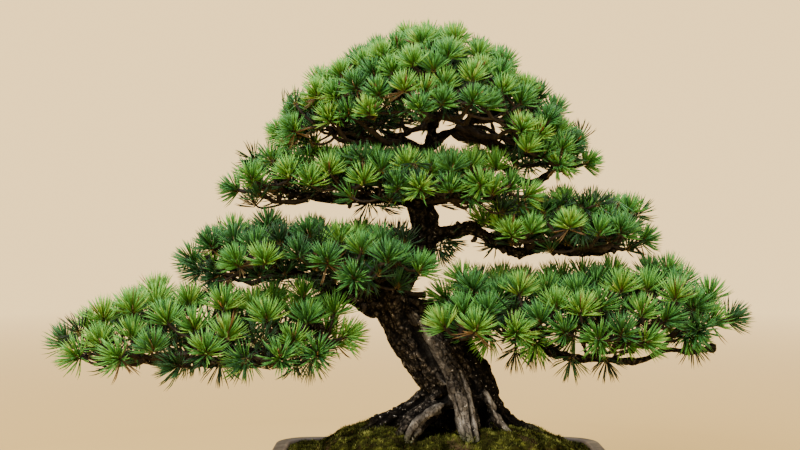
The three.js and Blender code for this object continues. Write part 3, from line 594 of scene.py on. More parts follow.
def bark_material():
    """Dark plated bark, paler where worn smooth, with light flecks of lichen and green near the soil, painted
    shade in hollows, on limbs and on the right side, and painted light on ridges.
    """
    made, tree, shader = new_material("pine_bark", 0.95, 0.1)
    numbers = ("crack", "worn", "damp", "hollow_shade_and_ridge_light", "painted_shade", "limb")
    crack, worn, damp, hollow_shade_and_ridge_light, painted_shade_mask, limb = (attribute(tree, name) for name in numbers)
    stir = node(tree, "ShaderNodeTexNoise", Vector=object_place(tree), Scale=1 / (9 * MM), Detail=3.0)
    stirred = node(tree, "ShaderNodeVectorMath", {"operation": "MULTIPLY_ADD"}, i0=stir.outputs["Color"],
                   i1=(6 * MM, 6 * MM, 6 * MM), i2=object_place(tree)).outputs["Vector"]
    cracks = {"feature": "DISTANCE_TO_EDGE"}
    block = node(tree, "ShaderNodeTexVoronoi", cracks, Vector=stirred, Scale=1 / (10 * MM))
    drawn = node(tree, "ShaderNodeMapping", {"vector_type": "TEXTURE"}, Vector=stirred,
                 Rotation=(0, math.radians(FISSURE_TILT), 0), Scale=(1, 1, 6))
    fissure = node(tree, "ShaderNodeTexVoronoi", cracks, Vector=drawn.outputs["Vector"], Scale=1 / (8 * MM))
    gap = grey_ramp(tree, block.outputs["Distance"], [(0.0, 0.06), (0.07, 0.35), (0.18, 1.0), (0.5, 1.3)])
    split = grey_ramp(tree, fissure.outputs["Distance"], [(0.0, 0.15), (0.045, 0.85), (0.10, 1.0)])
    broken = blended(tree, worn, gap, split)
    mottled = noise(tree, 9 * MM, 4.0, 0.65)
    dark = ramp(tree, mottled, [
        (0.30, (0.004, 0.0035, 0.003)),
        (0.46, (0.010, 0.0085, 0.007)),
        (0.55, (0.030, 0.026, 0.021)),
        (0.64, (0.085, 0.075, 0.063)),
        (0.78, (0.230, 0.212, 0.190)),
    ])
    pale = ramp(tree, noise(tree, 14 * MM, 4.0, 0.6), [
        (0.30, (0.026, 0.023, 0.018)),
        (0.46, (0.062, 0.057, 0.050)),
        (0.58, (0.125, 0.117, 0.104)),
        (0.72, (0.230, 0.220, 0.200)),
    ])
    plates = blended(tree, worn, dark, pale)
    spot = grey_ramp(tree, noise(tree, 4.5 * MM, 3.0, 0.6), [(0.66, 0.0), (0.69, 0.95)])
    where = grey_ramp(tree, noise(tree, 35 * MM, 1.0), [(0.48, 0.0), (0.60, 1.0)])
    fleck = multiplied(tree, spot, where)
    # Painted shade on the trunk's right side and along the first groove, and darker wood round the left block
    # strand.
    painted_shade = grey_ramp(tree, painted_shade_mask, [(0.0, 1.0), (1.0, 0.27)])
    flecked = blended(tree, fleck, multiplied(tree, plates, painted_shade), (0.62, 0.60, 0.55))
    green = blended(tree, damp, flecked, (0.034, 0.042, 0.010))
    cracked = blended(tree, crack, green, (0.005, 0.0035, 0.0025))
    # Painted shade in the wood's hollows and painted light on its ridges.
    shade = grey_ramp(tree, hollow_shade_and_ridge_light, [(0.35, 1.5), (0.50, 0.80), (0.70, 0.10)])
    # Painted shade: the limbs are darker.
    painted_limb_shade = grey_ramp(tree, limb, [(0.0, 1.0), (1.0, 0.45)])
    whole = multiplied(tree, multiplied(tree, multiplied(tree, cracked, shade), painted_limb_shade), broken)
    tree.links.new(whole, shader.inputs["Base Color"])
    relief = multiplied(tree, broken, noise(tree, 3.5 * MM, 5.0, 0.7))
    bumps(tree, shader, relief, 2.2 * MM, 0.8)
    return made


def shoot_material():
    return grained_material("young_bark", 0.85, 0.3, (6 * MM, 3.0), [
        (0.3, (0.006, 0.004, 0.003)), (0.55, (0.017, 0.012, 0.008)), (0.75, (0.050, 0.037, 0.026))],
        (2 * MM, 3.0), 0.6 * MM, 0.6)


def bud_material():
    return grained_material("winter_bud", 0.7, 0.3, (4 * MM, 3.0), [
        (0.35, (0.230, 0.120, 0.045)), (0.5, (0.420, 0.290, 0.130)), (0.7, (0.640, 0.560, 0.360))],
        (1.2 * MM, 2.0), 0.4 * MM, 0.6)


def earth_material():
    return grained_material("potting_soil", 1.0, 0.1, (4 * MM, 4.0, 0.7), [
        (0.35, (0.018, 0.012, 0.007)), (0.55, (0.060, 0.040, 0.024)), (0.72, (0.150, 0.105, 0.062))],
        (3 * MM, 3.0), 1.5 * MM, 1.0)


def plastic_material():
    return grained_material("drain_mesh_plastic", 0.5, 0.5, (8 * MM, 2.0), [
        (0.35, (0.010, 0.010, 0.011)), (0.65, (0.024, 0.023, 0.022))],
        (1.5 * MM, 2.0), 0.1 * MM, 0.5)


def moss_material():
    made, tree, shader = new_material("moss", 1.0, 0.0)
    tone = ramp(tree, noise(tree, 16 * MM, 5.0, 0.7), [
        (0.30, (0.005, 0.004, 0.002)),
        (0.42, (0.010, 0.010, 0.003)),
        (0.52, (0.018, 0.020, 0.004)),
        (0.62, (0.050, 0.056, 0.009)),
        (0.74, (0.120, 0.120, 0.022)),
    ])
    bare = grey_ramp(tree, noise(tree, 60 * MM, 3.0, 0.6), [(0.56, 0.0), (0.66, 0.85)])
    earth = ramp(tree, noise(tree, 5 * MM, 3.0), [
        (0.35, (0.014, 0.009, 0.006)), (0.65, (0.070, 0.045, 0.026))])
    # Painted shade in the hollows between cushions and painted light on their tops, from how high the moss
    # rises.
    shade = grey_ramp(tree, attribute(tree, "rise"), [(0.20, 0.10), (0.50, 0.60), (0.80, 1.6)])
    patchy = blended(tree, bare, tone, earth)
    tree.links.new(multiplied(tree, patchy, shade), shader.inputs["Base Color"])
    bumps(tree, shader, noise(tree, 2.2 * MM, 4.0, 0.7), 1.5 * MM, 0.9)
    return made


def clay_material():
    """Unglazed clay, fired to a dark grey-brown, with fine grain and a painted highlight along the lip's top
    edges.
    """
    made, tree, shader = new_material("fired_clay", 0.66, 0.3)
    tone = ramp(tree, noise(tree, 70 * MM, 4.0, 0.6), [
        (0.35, (0.009, 0.007, 0.006)), (0.52, (0.016, 0.012, 0.010)), (0.70, (0.030, 0.023, 0.019))])
    grain = ramp(tree, noise(tree, 1.6 * MM, 2.0), [(0.35, (0.75, 0.75, 0.75)), (0.65, (1.2, 1.18, 1.15))])
    grained = multiplied(tree, tone, grain)
    # Painted highlight: the lip's top edges are lighter.
    painted_lip_highlight = blended(tree, attribute(tree, "edge"), grained, (0.058, 0.045, 0.038))
    tree.links.new(painted_lip_highlight, shader.inputs["Base Color"])
    rough = grey_ramp(tree, noise(tree, 30 * MM, 3.0), [(0.35, 0.5), (0.65, 0.75)])
    tree.links.new(rough, shader.inputs["Roughness"])
    bumps(tree, shader, noise(tree, 1.4 * MM, 3.0), 0.25 * MM, 0.6)
    return made


# The tree's own form, read from the frame

def clusters(points, reach):
    """Groups of points, each joined to the rest of its group by steps no longer than reach."""
    left = set(range(len(points)))
    found = []
    while left:
        group = [left.pop()]
        for i in group:
            near = [j for j in left if np.linalg.norm(points[j] - points[i]) < reach]
            group.extend(near)
            left.difference_update(near)
        found.append(group)
    return sorted(found, key=len)


def read_branchlet(name):
    """A branchlet's foot, fork and tufts. A needle's tip is a corner with three long edges."""
    points, triangles = welded(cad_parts[name])
    around = [set() for _ in points]
    for corners in triangles:
        for i in corners:
            around[i].update(int(j) for j in corners if j != i)
    is_tip = [
        len(near) == 3 and min(np.linalg.norm(points[list(near)] - points[i], axis=1)) > LEAST_NEEDLE
        for i, near in enumerate(around)
    ]
    tips = np.flatnonzero(is_tip)
    feet = np.array([points[list(around[i])].mean(0) for i in tips])
    tufts = []
    for group in clusters(feet, TUFT_REACH):
        tufts.append((feet[group].mean(0), unit(unit(points[tips[group]] - feet[group]).sum(0))))
    centres = np.array([centre for centre, _ in tufts])
    rest = [p for i, p in enumerate(points)
            if not is_tip[i] and np.linalg.norm(centres - p, axis=1).min() > BUD_REACH]
    wooden = clusters(rest, TUFT_REACH)
    rest = np.array(rest)
    fork = rest[wooden[-1]].mean(0)
    ends = [rest[group].mean(0) for group in wooden[:-1]]
    foot = max(ends, key=lambda p: np.linalg.norm(centres - p, axis=1).min(),
               default=fork - SHORT_SHOOT * tufts[0][1])
    return {"foot": foot, "fork": fork, "tufts": tufts}


def hull_of(points):
    """The convex hull of some points: its triangles and the way that each faces."""
    shape = bmesh.new()
    for point in points:
        shape.verts.new(point)
    bmesh.ops.convex_hull(shape, input=shape.verts)
    bmesh.ops.triangulate(shape, faces=shape.faces)
    triangles = np.array([[corner.co for corner in face.verts] for face in shape.faces])
    shape.free()
    across = across_of(triangles)
    outward = np.sign(np.sum(across * (triangles.mean(1) - points.mean(0)), axis=1, keepdims=True))
    return triangles, across * outward


def spots_on(triangles, across, count):
    """Random places on a hull, evenly spread over its area, and the way that each faces."""
    area = np.linalg.norm(across, axis=1)
    pick = rng.choice(len(area), count, p=area / area.sum())
    share = rng.uniform(0, 1, (count, 2))
    share = np.where(share.sum(1, keepdims=True) > 1, 1 - share, share)
    a, b, c = triangles[pick].transpose(1, 0, 2)
    return a + (b - a) * share[:, :1] + (c - a) * share[:, 1:], unit(across[pick])


def pulled(points, pulls=PULLS):
    """Points after the small shifts that bring their outline to the tree's."""
    x, _, z = np.moveaxis((points - POT_MIDDLE) / MM, -1, 0)
    shift = np.zeros_like(points)
    for (middle_x, middle_z), reach, (right, up) in pulls:
        near = np.exp(-((x - middle_x) ** 2 + (z - middle_z) ** 2) / reach ** 2)
        shift += near[..., None] * np.array([right, 0, up]) * MM
    return points + shift


def new_tuft(place, axis, kind, start):
    return {"place": place, "axis": axis, "kind": kind, "from": start}


def dress_pad(pad, limbs):
    """All the tufts of a pad: those of the frame, those that fill the gaps between them, and inner ones."""
    names = sorted(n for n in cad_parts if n.startswith(f"needles_{pad}_"))
    branchlets = [read_branchlet(name) for name in names]
    needle = NEEDLE_OF_PAD[pad] * MM
    found = [(c, a, b["fork"]) for b in branchlets for c, a in b["tufts"]]
    low, high = (pick(c[2] for c, _, _ in found) for pick in (min, max))
    tufts = []
    for c, a, fork in found:
        raised = np.interp((c[2] - low) / (high - low), (0.1, 0.5), RAISED)
        tufts.append(new_tuft(pulled(c), unit(a + raised * UP), "outer", pulled(fork)))
    joints = [pulled(b["fork"]) for b in branchlets]
    joints += [pulled(0.45 * b["fork"] + 0.55 * c) for b in branchlets for c, _ in b["tufts"]]
    centres = np.array([t["place"] for t in tufts])
    axes = np.array([t["axis"] for t in tufts])
    taken = list(centres)
    hull = hull_of(centres)
    (left, right), (bottom, top) = OPEN_PLACE.get(pad, ((0, 0), (0, 0)))

    def add(place, axis, kind, spacing):
        x, _, z = (place - POT_MIDDLE) / MM
        if left < x < right and bottom < z < top:
            return False
        if np.linalg.norm(np.array(taken) - place, axis=1).min() < spacing:
            return False
        below = np.array(joints) - (place - STEM * axis)
        cost = np.linalg.norm(below, axis=1) + BACKWARD_COST * np.maximum(below @ axis, 0)
        start = joints[cost.argmin()]
        tufts.append(new_tuft(place, axis, kind, start))
        taken.append(place)
        joints.append(0.5 * start + 0.5 * place - 4 * MM * axis)
        return True

    outward, alike, upward, stray = FILL_AIM
    for place, way in zip(*spots_on(*hull, CANDIDATES)):
        if way[2] < LOWEST_SLOPE:
            continue
        near = np.linalg.norm(centres - place, axis=1).argsort()[:3]
        axis = unit(outward * way + alike * unit(axes[near].mean(0)) + upward * UP + rng.normal(0, stray, 3))
        add(place - way * rng.uniform(*FILL_DEPTH) * MM, axis, "fill", FILL_SPACING * needle)
    for place, way in zip(*spots_on(*hull, CANDIDATES)):
        axis = unit(0.6 * way * (1, 1, 0.4) + 0.5 * UP + rng.normal(0, 0.35, 3))
        add(place - way * rng.uniform(*INNER_DEPTH) * MM, axis, "inner", INNER_SPACING * needle)
    left_to_hang = HANGING.get(pad, 0)
    for place, way in zip(*spots_on(*hull, CANDIDATES)):
        if left_to_hang and way[2] < HANG_SLOPE and place[1] < centres[:, 1].mean():
            axis = unit(np.array([way[0] * 0.5, way[1] * 0.5 - 0.2, -0.8]) + rng.normal(0, 0.2, 3))
            left_to_hang -= add(place + 2 * MM * axis, axis, "hanging", HANG_SPACING)
    stars = [((x, STAR_DEPTH, z), (rng.normal(0, 0.15), -0.25, -1.0), "hanging")
             for x, z in STARS.get(pad, ())]
    for place, axis, kind in (*stars, *STRAYS.get(pad, ())):
        place = POT_MIDDLE + np.array(place) * MM
        start = pulled(np.array(limbs.find_nearest(Vector(place))[0]))
        tufts.append(new_tuft(place, unit(np.array(axis)), kind, start))
    return branchlets, tufts


# Needles

def needles(foot, aim, bend, length, radius):
    """Closed three-sided needles with a bend: points, triangles and how far along each point lies."""
    count = len(foot)
    side, over = crosswise(aim)
    middle = foot + unit(aim - bend) * (length * NEEDLE_BEND_AT)[:, None]
    tip = foot + unit(aim + bend) * length[:, None]
    rings = []
    for centre, size in ((foot, 0.75), (middle, 1.0)):
        for turn in range(3):
            angle = turn * 2 * math.pi / 3
            out = math.cos(angle) * side + math.sin(angle) * over
            rings.append(centre + out * (radius * size)[:, None])
    points = np.stack([*rings, tip], axis=1)
    one = [(0, 2, 1)]
    for j in range(3):
        k = (j + 1) % 3
        one += [(j, k, 3 + k), (j, 3 + k, 3 + j), (3 + j, 3 + k, 6)]
    triangles = np.array(one)[None] + 7 * np.arange(count)[:, None, None]
    along = np.tile([0, 0, 0, NEEDLE_BEND_AT, NEEDLE_BEND_AT, NEEDLE_BEND_AT, 1], count)
    return points.reshape(-1, 3), triangles.reshape(-1, 3), along


def tuft_needles(tuft, tone, pad):
    """The needles of one tuft, in pairs that spring from the shoot round its bud."""
    pairs = PAIRS[tuft["kind"]]
    axis = tuft["axis"]
    side = unit(np.cross(axis, UP if abs(axis[2]) < 0.9 else np.array([1.0, 0, 0])))
    over = np.cross(axis, side)
    share = (np.arange(pairs) + rng.uniform(0.2, 0.8, pairs)) / pairs
    turn = np.arange(pairs) * math.pi * (3 - math.sqrt(5)) + rng.uniform(-0.35, 0.35, pairs)
    tilt = np.radians(LEAST_TILT + TILT_RANGE * share ** TILT_POWER + rng.normal(0, TILT_STRAY, pairs))
    longest = NEEDLE_OF_PAD[pad] * MM
    length = longest * (1 - CENTRE_SHORTER * (1 - share) ** 2) * rng.uniform(*LENGTHS, pairs)
    tones = tone + rng.normal(0, TONE_STRAY, pairs)
    rise = SHOOT_TOP - SHOOT_LENGTH * share
    extras = []
    if tuft["kind"] in LEAFY:
        for chance, numbers, *looks in ((OLD_SHARE, *OLD_NEEDLES), (CANDLE_SHARE[pad], *CANDLES)):
            if rng.uniform() < chance:
                extras.append((rng.integers(*numbers), *looks))
    for count, tilts, lengths, shades, height in extras:
        turn = np.concatenate([turn, rng.uniform(0, 2 * math.pi, count)])
        tilt = np.concatenate([tilt, np.radians(rng.uniform(*tilts, count))])
        length = np.concatenate([length, longest * rng.uniform(*lengths, count)])
        tones = np.concatenate([tones, rng.uniform(*shades, count)])
        rise = np.concatenate([rise, np.full(count, height)])
    total = len(turn)
    out = np.cos(turn)[:, None] * side + np.sin(turn)[:, None] * over
    aim = unit(np.cos(tilt)[:, None] * axis + np.sin(tilt)[:, None] * out)
    foot = tuft["place"] + axis * (MM * rise)[:, None] + out * 1.6 * MM
    apart = unit(np.cross(aim, rng.normal(0, 1, (total, 3))))
    apart = apart * np.radians(rng.uniform(*PAIR_ANGLE, total))[:, None]
    aims = unit(np.concatenate([aim + apart, aim - apart]))
    bend = axis * rng.uniform(0.0, 0.05, 2 * total)[:, None] + rng.normal(0, 0.01, (2 * total, 3))
    lengths = np.concatenate([length, length * rng.uniform(0.94, 1.0, total)])
    slim = HANGING_SLIM if tuft["kind"] == "hanging" else 1.0
    radius = NEEDLE_RADIUS * slim * rng.uniform(*RADIUS_SPREAD, 2 * total)
    tones = np.concatenate([tones, tones])
    tones = np.where(tones < 0.92, np.clip(tones, 0.02, 0.9), tones)
    return np.concatenate([foot, foot]), aims, bend, lengths, radius, tones


def tone_of(tuft, pad, low, high):
    """Outer tufts near the top and front of a pad are the lightest, and inner ones the darkest: painted light
    on top, painted shade at the back and inside.
    """
    _, depth, height = (tuft["place"] - low) / (high - low) - 0.5
    tone = TONE_OF_PAD[pad] + TOP_LIGHT * height - BACK_SHADE * depth + rng.normal(0, TONE_SPREAD)
    return min(tone + TONE_SHIFT[tuft["kind"]], TONE_CAP)


def needle_piece(pad, tufts, material):
    spots = np.array([t["place"] for t in tufts])
    low, high = spots.min(0), spots.max(0)
    sets = [tuft_needles(tuft, tone_of(tuft, pad, low, high), pad) for tuft in tufts]
    foot, aim, bend, length, radius, tone = (np.concatenate(parts) for parts in zip(*sets))
    points, triangles, along = needles(foot, aim, bend, length, radius)
    made = mesh_object(f"foliage_{pad}", points, triangles, [material])
    give_map(made, np.repeat(tone, 7), along)
    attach(made, "root")
    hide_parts(*sorted(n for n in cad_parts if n.startswith(f"needles_{pad}_")))


# Twigs and buds

def tube(centres, radii, sides=6):
    """A closed tube through a few points: points and triangles."""
    centres = np.asarray(centres)
    along = unit(np.gradient(centres, axis=0))
    wished = np.array([0.31, 0.9, 0.22])
    rings = []
    for centre, way, radius in zip(centres, along, radii):
        side = unit(wished - way * (wished @ way))
        over = np.cross(way, side)
        wished = side
        angle = np.arange(sides) * 2 * math.pi / sides
        size = radius * rng.uniform(0.9, 1.1, sides)
        rings.append(centre + (np.cos(angle) * size)[:, None] * side + (np.sin(angle) * size)[:, None] * over)
    points = np.concatenate([*rings, centres[:1], centres[-1:]])
    start, end = len(points) - 2, len(points) - 1
    last = sides * (len(rings) - 1)
    triangles = []
    for j in range(sides):
        k = (j + 1) % sides
        triangles += [(start, k, j), (end, last + j, last + k)]
        for i in range(len(rings) - 1):
            a, b = i * sides, (i + 1) * sides
            triangles += [(a + j, a + k, b + k), (a + j, b + k, b + j)]
    return points, np.array(triangles)


def joined(parts):
    """Several sets of points and triangles as one."""
    starts = np.cumsum([0] + [len(points) for points, _ in parts[:-1]])
    points = np.concatenate([points for points, _ in parts])
    return points, np.concatenate([triangles + start for (_, triangles), start in zip(parts, starts)])


def curved(start, end, arrive, steps=6):
    """A few points on a curve that leaves start and arrives at end in a given direction."""
    far = np.linalg.norm(end - start)
    one = start + (end - start) * 0.3 - UP * 0.06 * far
    two = end - arrive * 0.35 * far
    t = np.linspace(0, 1, steps)[:, None]
    return (1 - t) ** 3 * start + 3 * (1 - t) ** 2 * t * one + 3 * (1 - t) * t * t * two + t ** 3 * end


def wound(route, radii, stray):
    """A tube along a route that winds from side to side and has knots. radii and stray are in millimetres."""
    route = np.asarray(route)
    far = np.concatenate([[0], np.cumsum(np.linalg.norm(np.diff(route, axis=0), axis=1))])
    steps = max(4, int(far[-1] / (11 * MM)) + 2)
    at = np.linspace(0, far[-1], steps)
    t = np.linspace(0, 1, steps)
    points = np.stack([np.interp(at, far, route[:, k]) for k in range(3)], axis=1)
    points = np.concatenate([points[:1], (points[:-2] + 2 * points[1:-1] + points[2:]) / 4, points[-1:]])
    turn = rng.uniform(0, 2 * math.pi, (2, 3))
    sway = np.sin(t[:, None] * rng.uniform(4, 9, 3) + turn[0])
    sway = sway + 0.6 * np.sin(t[:, None] * rng.uniform(11, 17, 3) + turn[1])
    points += sway * (stray * MM * np.sin(math.pi * t) ** 0.7)[:, None]
    knots = rng.uniform(0.85, 1.3, steps)
    return tube(points, np.interp(t, (0, 1), radii) * MM * knots)


def twig_parts(branchlets, tufts, limbs):
    """Tubes for the twigs that carry a pad's tufts, from the limb outward."""
    parts = []
    for b in branchlets:
        back = unit(b["foot"] - b["fork"])
        hit, _, _, far = limbs.ray_cast(Vector(b["foot"] + back * 2 * MM), Vector(back), 0.2)
        reach = (far if hit else 10 * MM) + 6 * MM
        root = b["foot"] + back * reach
        middle = (root + b["foot"]) / 2 - UP * 0.06 * reach
        route = pulled(np.array([root, middle, b["foot"], b["fork"]]))
        parts.append(wound(route, BRANCHLET_RADII, BRANCHLET_SWAY))
    for tuft in tufts:
        end = tuft["place"] - tuft["axis"] * 1 * MM
        thick = TWIG_THICKNESS[tuft["kind"]]
        parts.append(wound(curved(tuft["from"], end, tuft["axis"]), (thick, thick - TWIG_TAPER), TWIG_SWAY))
    return parts


def bough_parts(pad, tufts, limbs):
    """Winding dark boughs on the underside of a pad, from its limbs out to its lower tufts."""
    places = np.array([t["place"] for t in tufts])
    middle = places.mean(0)
    low, high = places[:, 2].min(), places[:, 2].max()
    limit = low + BOUGH_BELOW * (high - low)
    lower = [t for t in tufts if t["kind"] in LEAFY and t["place"][2] < limit]
    parts = []
    for pick in rng.permutation(len(lower))[:BOUGHS[pad]]:
        tuft = lower[pick]
        end = tuft["place"] - tuft["axis"] * 6 * MM
        inward = (middle - end) * rng.uniform(0.45, 0.8)
        near, way, _, _ = limbs.find_nearest(Vector(end + inward - UP * 30 * MM))
        start = pulled(np.array(near - way * 4 * MM))
        bend = (start + end) / 2 - UP * 0.10 * np.linalg.norm(end - start)
        parts.append(wound([start, bend, end], (rng.uniform(*BOUGH_FOOT), BOUGH_TIP), BOUGH_SWAY))
    return parts


def spur_parts(wood):
    """Short stubs of old twigs along the limbs."""
    points, triangles = wood
    corners = points[triangles]
    parts = []
    for place, way in zip(*spots_on(corners, across_of(corners), 6 * SPURS)):
        if place[2] < LIMB_HEIGHT or abs(place[0] - POT_MIDDLE[0] + 40 * MM) < 60 * MM or len(parts) == SPURS:
            continue
        aim = unit(way + rng.normal(0, 0.5, 3))
        length = rng.uniform(4, 10) * MM
        tip = place + aim * length + rng.normal(0, 2.5 * MM, 3)
        route = [place - way * 3 * MM, place + aim * length * 0.5, tip]
        parts.append(tube(route, np.array([4.6, 3.6, 2.6]) * MM * rng.uniform(0.7, 1.1)))
    return parts


def bud_parts(tufts):
    parts = []
    for tuft in tufts:
        if tuft["kind"] not in LEAFY:
            continue
        size = rng.uniform(0.8, 1.15)
        steps = np.array([0, 3, 6, 8.5, 10]) * MM * size
        parts.append(tube(tuft["place"] + tuft["axis"] * (steps[:, None] - 1 * MM),
                          np.array([1.5, 2.1, 1.7, 1.0, 0.25]) * MM * size, 5))
    return parts


# Wood

def growth_directions(points, normals, cell=14 * MM):
    """The way the wood runs at each point: that in which the surface's normals near it change least."""
    keys = np.floor(points / cell).astype(int)
    cells, index = np.unique(keys, axis=0, return_inverse=True)
    index = index.reshape(-1)
    spread = np.zeros((len(cells), 3, 3))
    np.add.at(spread, index, normals[:, :, None] * normals[:, None, :])
    number = {tuple(key): i for i, key in enumerate(cells)}

    def gathered(values, reach):
        total = np.zeros_like(values)
        for shift in np.ndindex(*(2 * reach + 1,) * 3):
            step = np.array(shift) - reach
            near = np.array([number.get(tuple(key), -1) for key in cells + step])
            total[near >= 0] += values[near[near >= 0]]
        return total

    way = np.linalg.eigh(gathered(spread, 1))[1][:, :, 0]
    settled = np.linalg.eigh(gathered(way[:, :, None] * way[:, None, :], 1))[1][:, :, 2]
    return settled[index]


def drawn_out(points, ways, size, length, seed, steps):
    """Noise that is smeared along the way the wood runs."""
    total = np.zeros(len(points))
    for s in np.linspace(-0.5, 0.5, steps):
        total += value_noise(points + ways * (s * length), size, seed)
    return total / total.std()


def near_route(points, route):
    """How far points lie from a route of straight stretches."""
    best = np.full(len(points), 9.0)
    for a, b in zip(route[:-1], route[1:]):
        t = np.clip(((points - a) @ (b - a)) / ((b - a) @ (b - a)), 0, 1)
        best = np.minimum(best, np.linalg.norm(points - a - t[:, None] * (b - a), axis=1))
    return best


def applied(made, kind, **settings):
    """An object with one modifier applied to its mesh."""
    modifier = made.modifiers.new(kind, kind)
    for key, value in settings.items():
        setattr(modifier, key, value)
    mesh = bpy.data.meshes.new_from_object(made.evaluated_get(bpy.context.evaluated_depsgraph_get()))
    made.modifiers.clear()
    old = made.data
    made.data = mesh
    bpy.data.meshes.remove(old)
    return made


def neighbour_mean(points, edges):
    """The mean of each point's neighbours."""
    count = np.maximum(np.bincount(edges.ravel(), minlength=len(points)), 1)
    total = np.stack([
        np.bincount(edges[:, 0], points[edges[:, 1], k], len(points))
        + np.bincount(edges[:, 1], points[edges[:, 0], k], len(points)) for k in range(3)], axis=1)
    return total / count[:, None]


def relaxed(points, edges, rounds):
    """Evens out a surface without shrinking it."""
    for _ in range(rounds):
        for share in RELAX_SHARES:
            points = points + share * (neighbour_mean(points, edges) - points)
    return points


def averaged(points, edges, rounds):
    """Each point moved to the mean of its neighbours, several times over."""
    for _ in range(rounds):
        points = neighbour_mean(points, edges)
    return points


def strand_route(strand):
    """The middle line of a strand of old wood, in the frame."""
    return POT_MIDDLE + np.array(strand)[:, :3] * MM


def near_share(points, route, reach, full):
    """How near points lie to a route: 0 from its reach on, and 1 within a share of it."""
    return smooth_step(reach, reach * full, near_route(points, route))


def on_front(route, wood, step=8 * MM):
    """A route drawn on the front, as a list of x and z in millimetres, laid onto the wood's surface."""
    route = np.array(route) * MM
    found = []
    for a, b in zip(route[:-1], route[1:]):
        for share in np.linspace(0, 1, 2 + int(np.linalg.norm(b - a) / step)):
            x, z = a + (b - a) * share
            eye = Vector((POT_MIDDLE[0] + x, POT_MIDDLE[1] - 0.6, z))
            hit, _, _, _ = wood.ray_cast(eye, Vector((0, 1, 0)))
            if hit and not (found and (found[-1] - hit).length < 1 * MM):
                found.append(hit)
    return np.array(found)


def carved(points, normals, wood):
    """Deep grooves between the flutes and roots, hollows under the roots, and knobbly limbs."""
    moved = pulled(points, WOOD_PULLS)
    kept = smooth_step(*SMOOTH_KEPT, near_route(points, strand_route(SMOOTH_ROOT)))
    for route, width, depth in GROOVES:
        near = near_route(points, on_front(route, wood)) / (width * MM)
        moved -= normals * (depth * MM * np.exp(-near ** 2))[:, None]
    for middle, reach, depth in PITS:
        x, z = np.array(middle) * MM
        front = on_front((middle, middle), wood)[0, 1]
        aside = (points[:, 0] - POT_MIDDLE[0] - x) / (reach[0] * MM)
        above = (points[:, 2] - z) / (reach[1] * MM)
        push = np.clip(1 - (aside ** 2 + above ** 2), 0, 1) ** 0.7 * (points[:, 1] < front + 35 * MM)
        moved[:, 1] += depth * MM * push * kept
    heights, middles = np.array(TRUNK_LINE).T * MM
    away = np.abs(points[:, 0] - POT_MIDDLE[0] - np.interp(points[:, 2], heights, middles))
    limb = smooth_step(50 * MM, 90 * MM, away) * smooth_step(205 * MM, 235 * MM, points[:, 2])
    moved += limb[:, None] * (pulled(points) - points)
    for axis, seed in ((1, 73), (2, 79)):
        moved[:, axis] += LIMB_SWAY * limb * value_noise(points, 48 * MM, seed)
    slim = CROWN_SLIM * smooth_step(CROWN_HEIGHT, CROWN_HEIGHT + 30 * MM, points[:, 2])
    knobs = value_noise(points, 24 * MM, 43) + 0.5 * value_noise(points, 13 * MM, 47)
    rough = np.maximum(limb, smooth_step(LIMB_HEIGHT, LIMB_HEIGHT + 60 * MM, points[:, 2]))
    return moved + normals * (3.2 * MM * rough * knobs - slim)[:, None]


def worn_and_dark(points, wood):
    """How far the wood at each point is worn smooth and pale, and how far it is painted dark, from 0 to 1:
    painted shade on the right side and along the first groove, and darker wood round the left block strand.
    """
    flute = np.array(FLUTE) * MM + POT_MIDDLE
    smooth_root = strand_route(SMOOTH_ROOT)
    first_groove = GROOVES[0][0]
    edge_x, edge_z = np.array(first_groove[::-1]).T * MM
    beyond = smooth_step(*FLUTE_EDGE, points[:, 0] - POT_MIDDLE[0] - np.interp(points[:, 2], edge_z, edge_x))
    worn = np.maximum(near_share(points, flute, FLUTE_REACH, 0.7) * beyond,
                      near_share(points, on_front(PALE_ROOT, wood), PALE_ROOT_REACH, 0.5))
    worn = np.maximum(worn, 0.75 * near_share(points, smooth_root, SMOOTH_REACH, 0.75))
    dark = near_share(points, on_front(DARK_SIDE, wood), DARK_REACH, 0.6)
    band = near_share(points, on_front(first_groove, wood), BAND_REACH, 0.5)
    band *= smooth_step(*SMOOTH_KEPT, near_route(points, smooth_root))
    block = smooth_step(*BLOCK_REACH, near_route(points, strand_route(LEFT_BLOCK)))
    return worn, np.maximum(np.maximum(dark, block) * (1 - worn), band)


def bark_relief(points, normals, worn):
    """How far the bark stands out at each point, less on thin wood, and how far the point lies in a crack."""
    ways = growth_directions(points, normals)
    plates, seams, splits = (np.abs(drawn_out(points, ways, *form)) for form in (PLATES, SEAMS, SPLITS))
    deep = (1 - smooth_step(0.0, PLATE_GAP, plates)) * (1 - worn)
    deep = np.maximum(deep, (1 - smooth_step(0.0, SPLIT_GAP, splits)) * worn)
    shallow = (1 - smooth_step(0.0, SEAM_GAP, seams)) * (1 - 0.75 * worn)
    thick = smooth_step(*FULL_GIRTH, girth_of(points, normals))
    surface = RUGGED_LIFT * value_noise(points, *RUGGED) + FINE_LIFT * value_noise(points, *FINE)
    lift = surface * (1 - 0.7 * worn) - PLATE_DEPTH * deep * (1 - 0.4 * worn) - SEAM_DEPTH * shallow
    return lift * MM * (0.3 + 0.7 * thick), np.clip(0.85 * deep + 0.4 * shallow, 0, 1)


